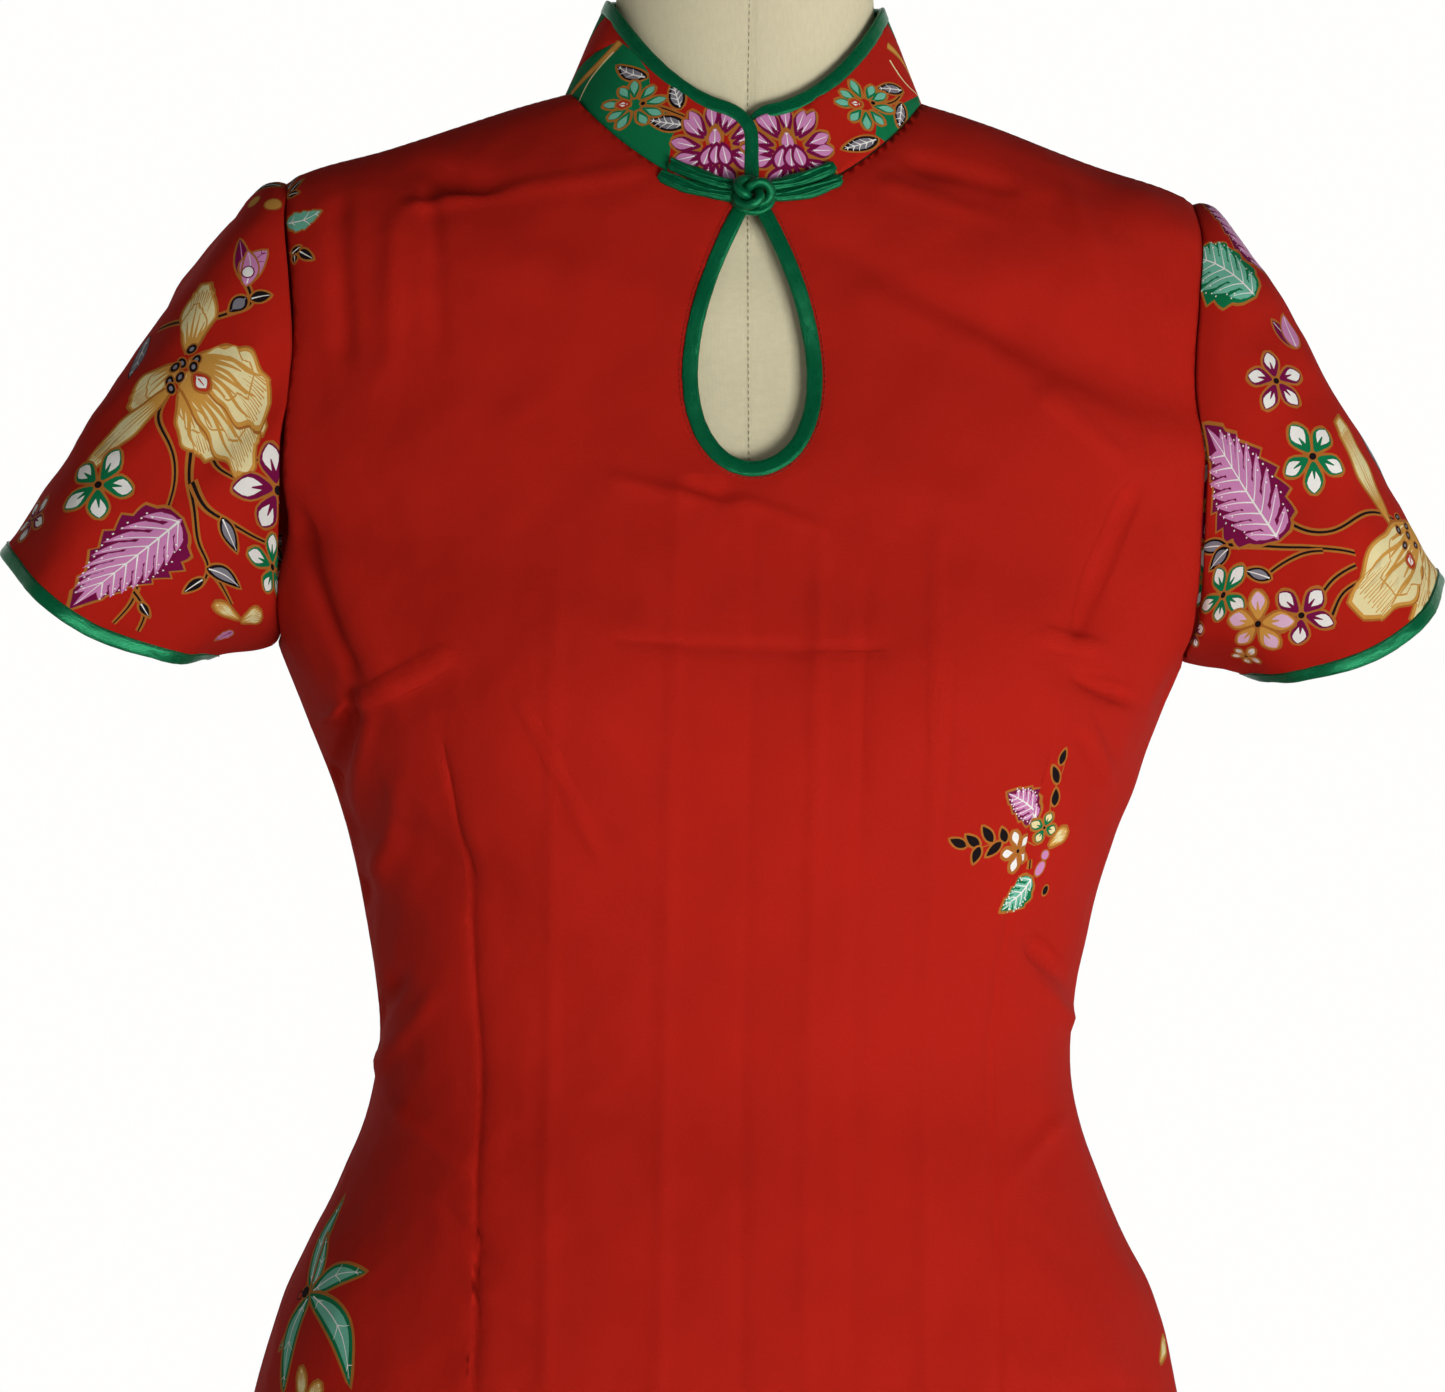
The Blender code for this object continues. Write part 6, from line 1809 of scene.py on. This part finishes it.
def frogLine(sign, steps):
    distance = np.linspace(frogShape["start"], frogShape["start"] + frogShape["length"], steps)
    angle = np.interp(distance, collarLengths[0], collarAngles)
    out = collarFrame(angle, np.zeros(steps))[0]
    chest = clothPoint("front", distance, np.full(steps, runTop - 0.004))[1]
    slope = unit(out + chest)
    mirror = np.array([sign, 1, 1])
    seat = frogShape["thick"] / 2 + frogShape["seat"]
    return (collarPoint(angle, np.zeros(steps)) + slope * seat) * mirror, slope * mirror


def frogMiddle():  # where the knot sits, with the ways out of the cloth and up
    neck, out = clothPoint("front", np.zeros(1), np.array([runTop - 0.003]))
    lean = unit(out[0] + collarFrame(np.zeros(1), np.full(1, 0.1))[0][0])
    return neck[0], lean, unit(np.cross(np.array([1.0, 0.0, 0.0]), -lean))


def frogLoop():  # the cord of the loop leg that goes round under the knot
    neck, lean, up = frogMiddle()
    turns = np.radians(np.linspace(*frogShape["loopTurns"], 60))
    x, z = frogShape["loop"] * np.cos(turns), frogShape["loopTall"] * np.sin(turns)
    line = neck + lean * frogShape["loopLift"] + x[:, None] * np.array([1.0, 0, 0]) + z[:, None] * up
    across, out = lineFrame(line, np.tile(lean, (60, 1)))
    return stripMesh(line, across, out, *frogShape["loopCord"], False, 12, 0.9, 0.0001, 47)


def frogLeg(name, sign):
    steps = 48
    centre, out = frogLine(sign, steps)
    across, out = lineFrame(centre, out)
    across = across * np.sign(across[0, 2])
    share = np.linspace(0, 1, steps)
    width = frogShape["width"] * (0.78 + 0.22 * smoothStep(share / 0.8))
    parts = []
    for k, (place, wide, length, tall) in enumerate(frogFolds[sign]):
        wander = 0.03 * np.sin(share * 7 + 1.7 * k + sign)
        middle = centre + across * ((place + wander) * width)[:, None]
        middle = np.column_stack([np.interp(share * length, share, middle[:, j]) for j in range(3)])
        size = width * wide * (1 + 0.10 * np.sin(share * 6 + 2 * k))
        size = size * (1 - 0.35 * smoothStep((share - 0.93) / 0.07))
        thick = frogShape["thick"] * tall * (1 - 0.40 * smoothStep((share - 0.70) / 0.30))
        parts.append(stripMesh(middle, across, out, size, thick, False, 14, 0.75, 0.00018, 40 + k))
    if sign < 0:
        parts.append(frogLoop())
    sweptPiece(name + "_cords", joinMeshes(parts), satin, (name,))


def frogKnot():
    neck, lean, up = frogMiddle()
    centre = neck + lean * (frogShape["knotLift"] + frogShape["tube"] + frogShape["wave"])
    turns = np.linspace(0, 2 * math.pi, 260, endpoint=False)
    wide = frogShape["ring"] + frogShape["wave"] * np.cos(3 * turns)
    x = wide * np.cos(2 * turns) * 1.10 + frogShape["knotAside"]
    z = wide * np.sin(2 * turns) * 0.92
    y = frogShape["wave"] * np.sin(3 * turns)
    line = centre + x[:, None] * np.array([1.0, 0, 0]) + y[:, None] * lean + z[:, None] * up
    along = unit(np.roll(line, -1, axis=0) - np.roll(line, 1, axis=0))
    across = unit(np.cross(along, lean))
    width = 2 * frogShape["tube"] * 1.12
    strip = stripMesh(line, across, np.cross(across, along), width, width, True, 12, 1.0, 0.00012, 44)
    sweptPiece("frog_knot_cord", strip, satin, ("frog_knot",))


frogLeg("frog_loop", -1)
frogLeg("frog_tail", 1)
frogKnot()
print("frog closing is on")


# Dress form and stand
formSeam = {"depth": 0.0005, "spread": 0.022, "beside": 0.0012}


def closeForm(shape):  # joins the seam at the back and closes both ends
    joinTouching(shape)
    low, high = formSections[0][0] + 1e-4, formSections[-1][0] - 1e-4
    for rim in ([v for v in shape.verts if v.co.z < low], [v for v in shape.verts if v.co.z > high]):
        rim.sort(key=lambda v: math.atan2(v.co.x, -v.co.y))
        shape.faces.new(rim)
    faceOutward(shape)


def formShell():
    sections = makeSections(formSections)
    rows, steps = 190, 180
    runs = sections["knots"][-1] * np.linspace(0, 1, rows)
    angles = np.linspace(0, 2 * math.pi, steps + 1)
    points = ringPoint(sectionAt(sections, runs)[:, None, :], angles[None, :])
    out = unit(points * np.array([1, 1, 0.0]))
    seam = np.zeros(steps + 1)
    for at in (0, math.pi / 2, math.pi, 3 * math.pi / 2, 2 * math.pi):
        seam += np.exp(-(((angles - at) / formSeam["spread"]) ** 2))
    points = points - out * (formSeam["depth"] * seam)[None, :, None]
    girth = runAlong(points[rows // 2])
    flat = np.stack(np.broadcast_arrays(girth[None, :], runs[:, None]), axis=-1)
    faces = []
    across = steps + 1
    for i in range(rows - 1):
        for j in range(steps):
            a = i * across + j
            faces.append((a, a + 1, a + 1 + across, a + across))
    piece = addPiece("form_body_linen", points.reshape(-1, 3), faces, linen,
                     ("form_body",), flat.reshape(-1, 2), None, 0)
    reshaped(piece, closeForm)
    seamRuns = np.linspace(sections["knots"][-1] * 0.35, sections["knots"][-1] * 0.995, 300)
    seamLine = ringPoint(sectionAt(sections, seamRuns), np.zeros(300)) - (formSeam["beside"], 0, 0)
    row = stitches(seamLine, np.tile((0.0, -1.0, 0.0), (300, 1)), *threadSizes["form"])
    sweptPiece("form_centre_stitches", row, linenThread)


def turnedPiece(name, profile, material, steps, scaleY=1.0, centreY=0.0):
    points = []
    for radius, height in profile:
        for k in range(steps):
            turn = 2 * math.pi * k / steps
            points.append((radius * math.sin(turn), centreY - radius * scaleY * math.cos(turn), height))
    faces = []
    for i in range(len(profile) - 1):
        for k in range(steps):
            a, b = i * steps + k, i * steps + (k + 1) % steps
            faces.append((a, b, b + steps, a + steps))
    faces.append(tuple(range(steps))[::-1])
    faces.append(tuple((len(profile) - 1) * steps + k for k in range(steps)))
    piece = addPiece(name, points, faces, material, (name.rsplit("_", 1)[0],), sharp=35)
    reshaped(piece, faceOutward)


def roundedProfile(corners, radius, steps=5):  # rounds off the inner corners
    line = [np.array(corners[0], float)]
    for before, corner, after in zip(corners, corners[1:], corners[2:]):
        before, corner, after = (np.array(p, float) for p in (before, corner, after))
        cut = min(radius, np.linalg.norm(before - corner) * 0.45, np.linalg.norm(after - corner) * 0.45)
        start, end = corner + unit(before - corner) * cut, corner + unit(after - corner) * cut
        for t in np.linspace(0, 1, steps):
            line.append((1 - t) ** 2 * start + 2 * t * (1 - t) * corner + t**2 * end)
    line.append(np.array(corners[-1], float))
    return [tuple(p) for p in line]


def standPieces():
    low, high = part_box("base")
    radius, top = high.x, high.z
    turnedPiece("base_disc", roundedProfile((
        (radius - 0.003, 0), (radius, 0.003), (radius, top - 0.006), (radius - 0.005, top - 0.001),
        (radius - 0.012, top)), 0.003), paint, 128)
    low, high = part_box("flange")
    radius, foot, rise = high.x, low.z, high.z - low.z
    turnedPiece("flange_collar", roundedProfile((
        (radius, foot), (radius, foot + 0.004), (radius - 0.016, foot + 0.012),
        (radius - 0.020, foot + rise)), 0.004), paint, 72)
    low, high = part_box("pole")
    turnedPiece("pole_tube", ((high.x, low.z), (high.x, high.z)), steel, 64)
    low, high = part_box("neck_cap")
    middle, wide, deep = (low.y + high.y) / 2, high.x, (high.y - low.y) / 2
    turnedPiece("neck_cap_wood", roundedProfile((
        (wide, low.z), (wide, high.z - 0.003), (wide - 0.003, high.z), (wide - 0.02, high.z)), 0.002),
        wood, 96, deep / wide, middle)


formShell()
standPieces()
print("form and stand are dressed")
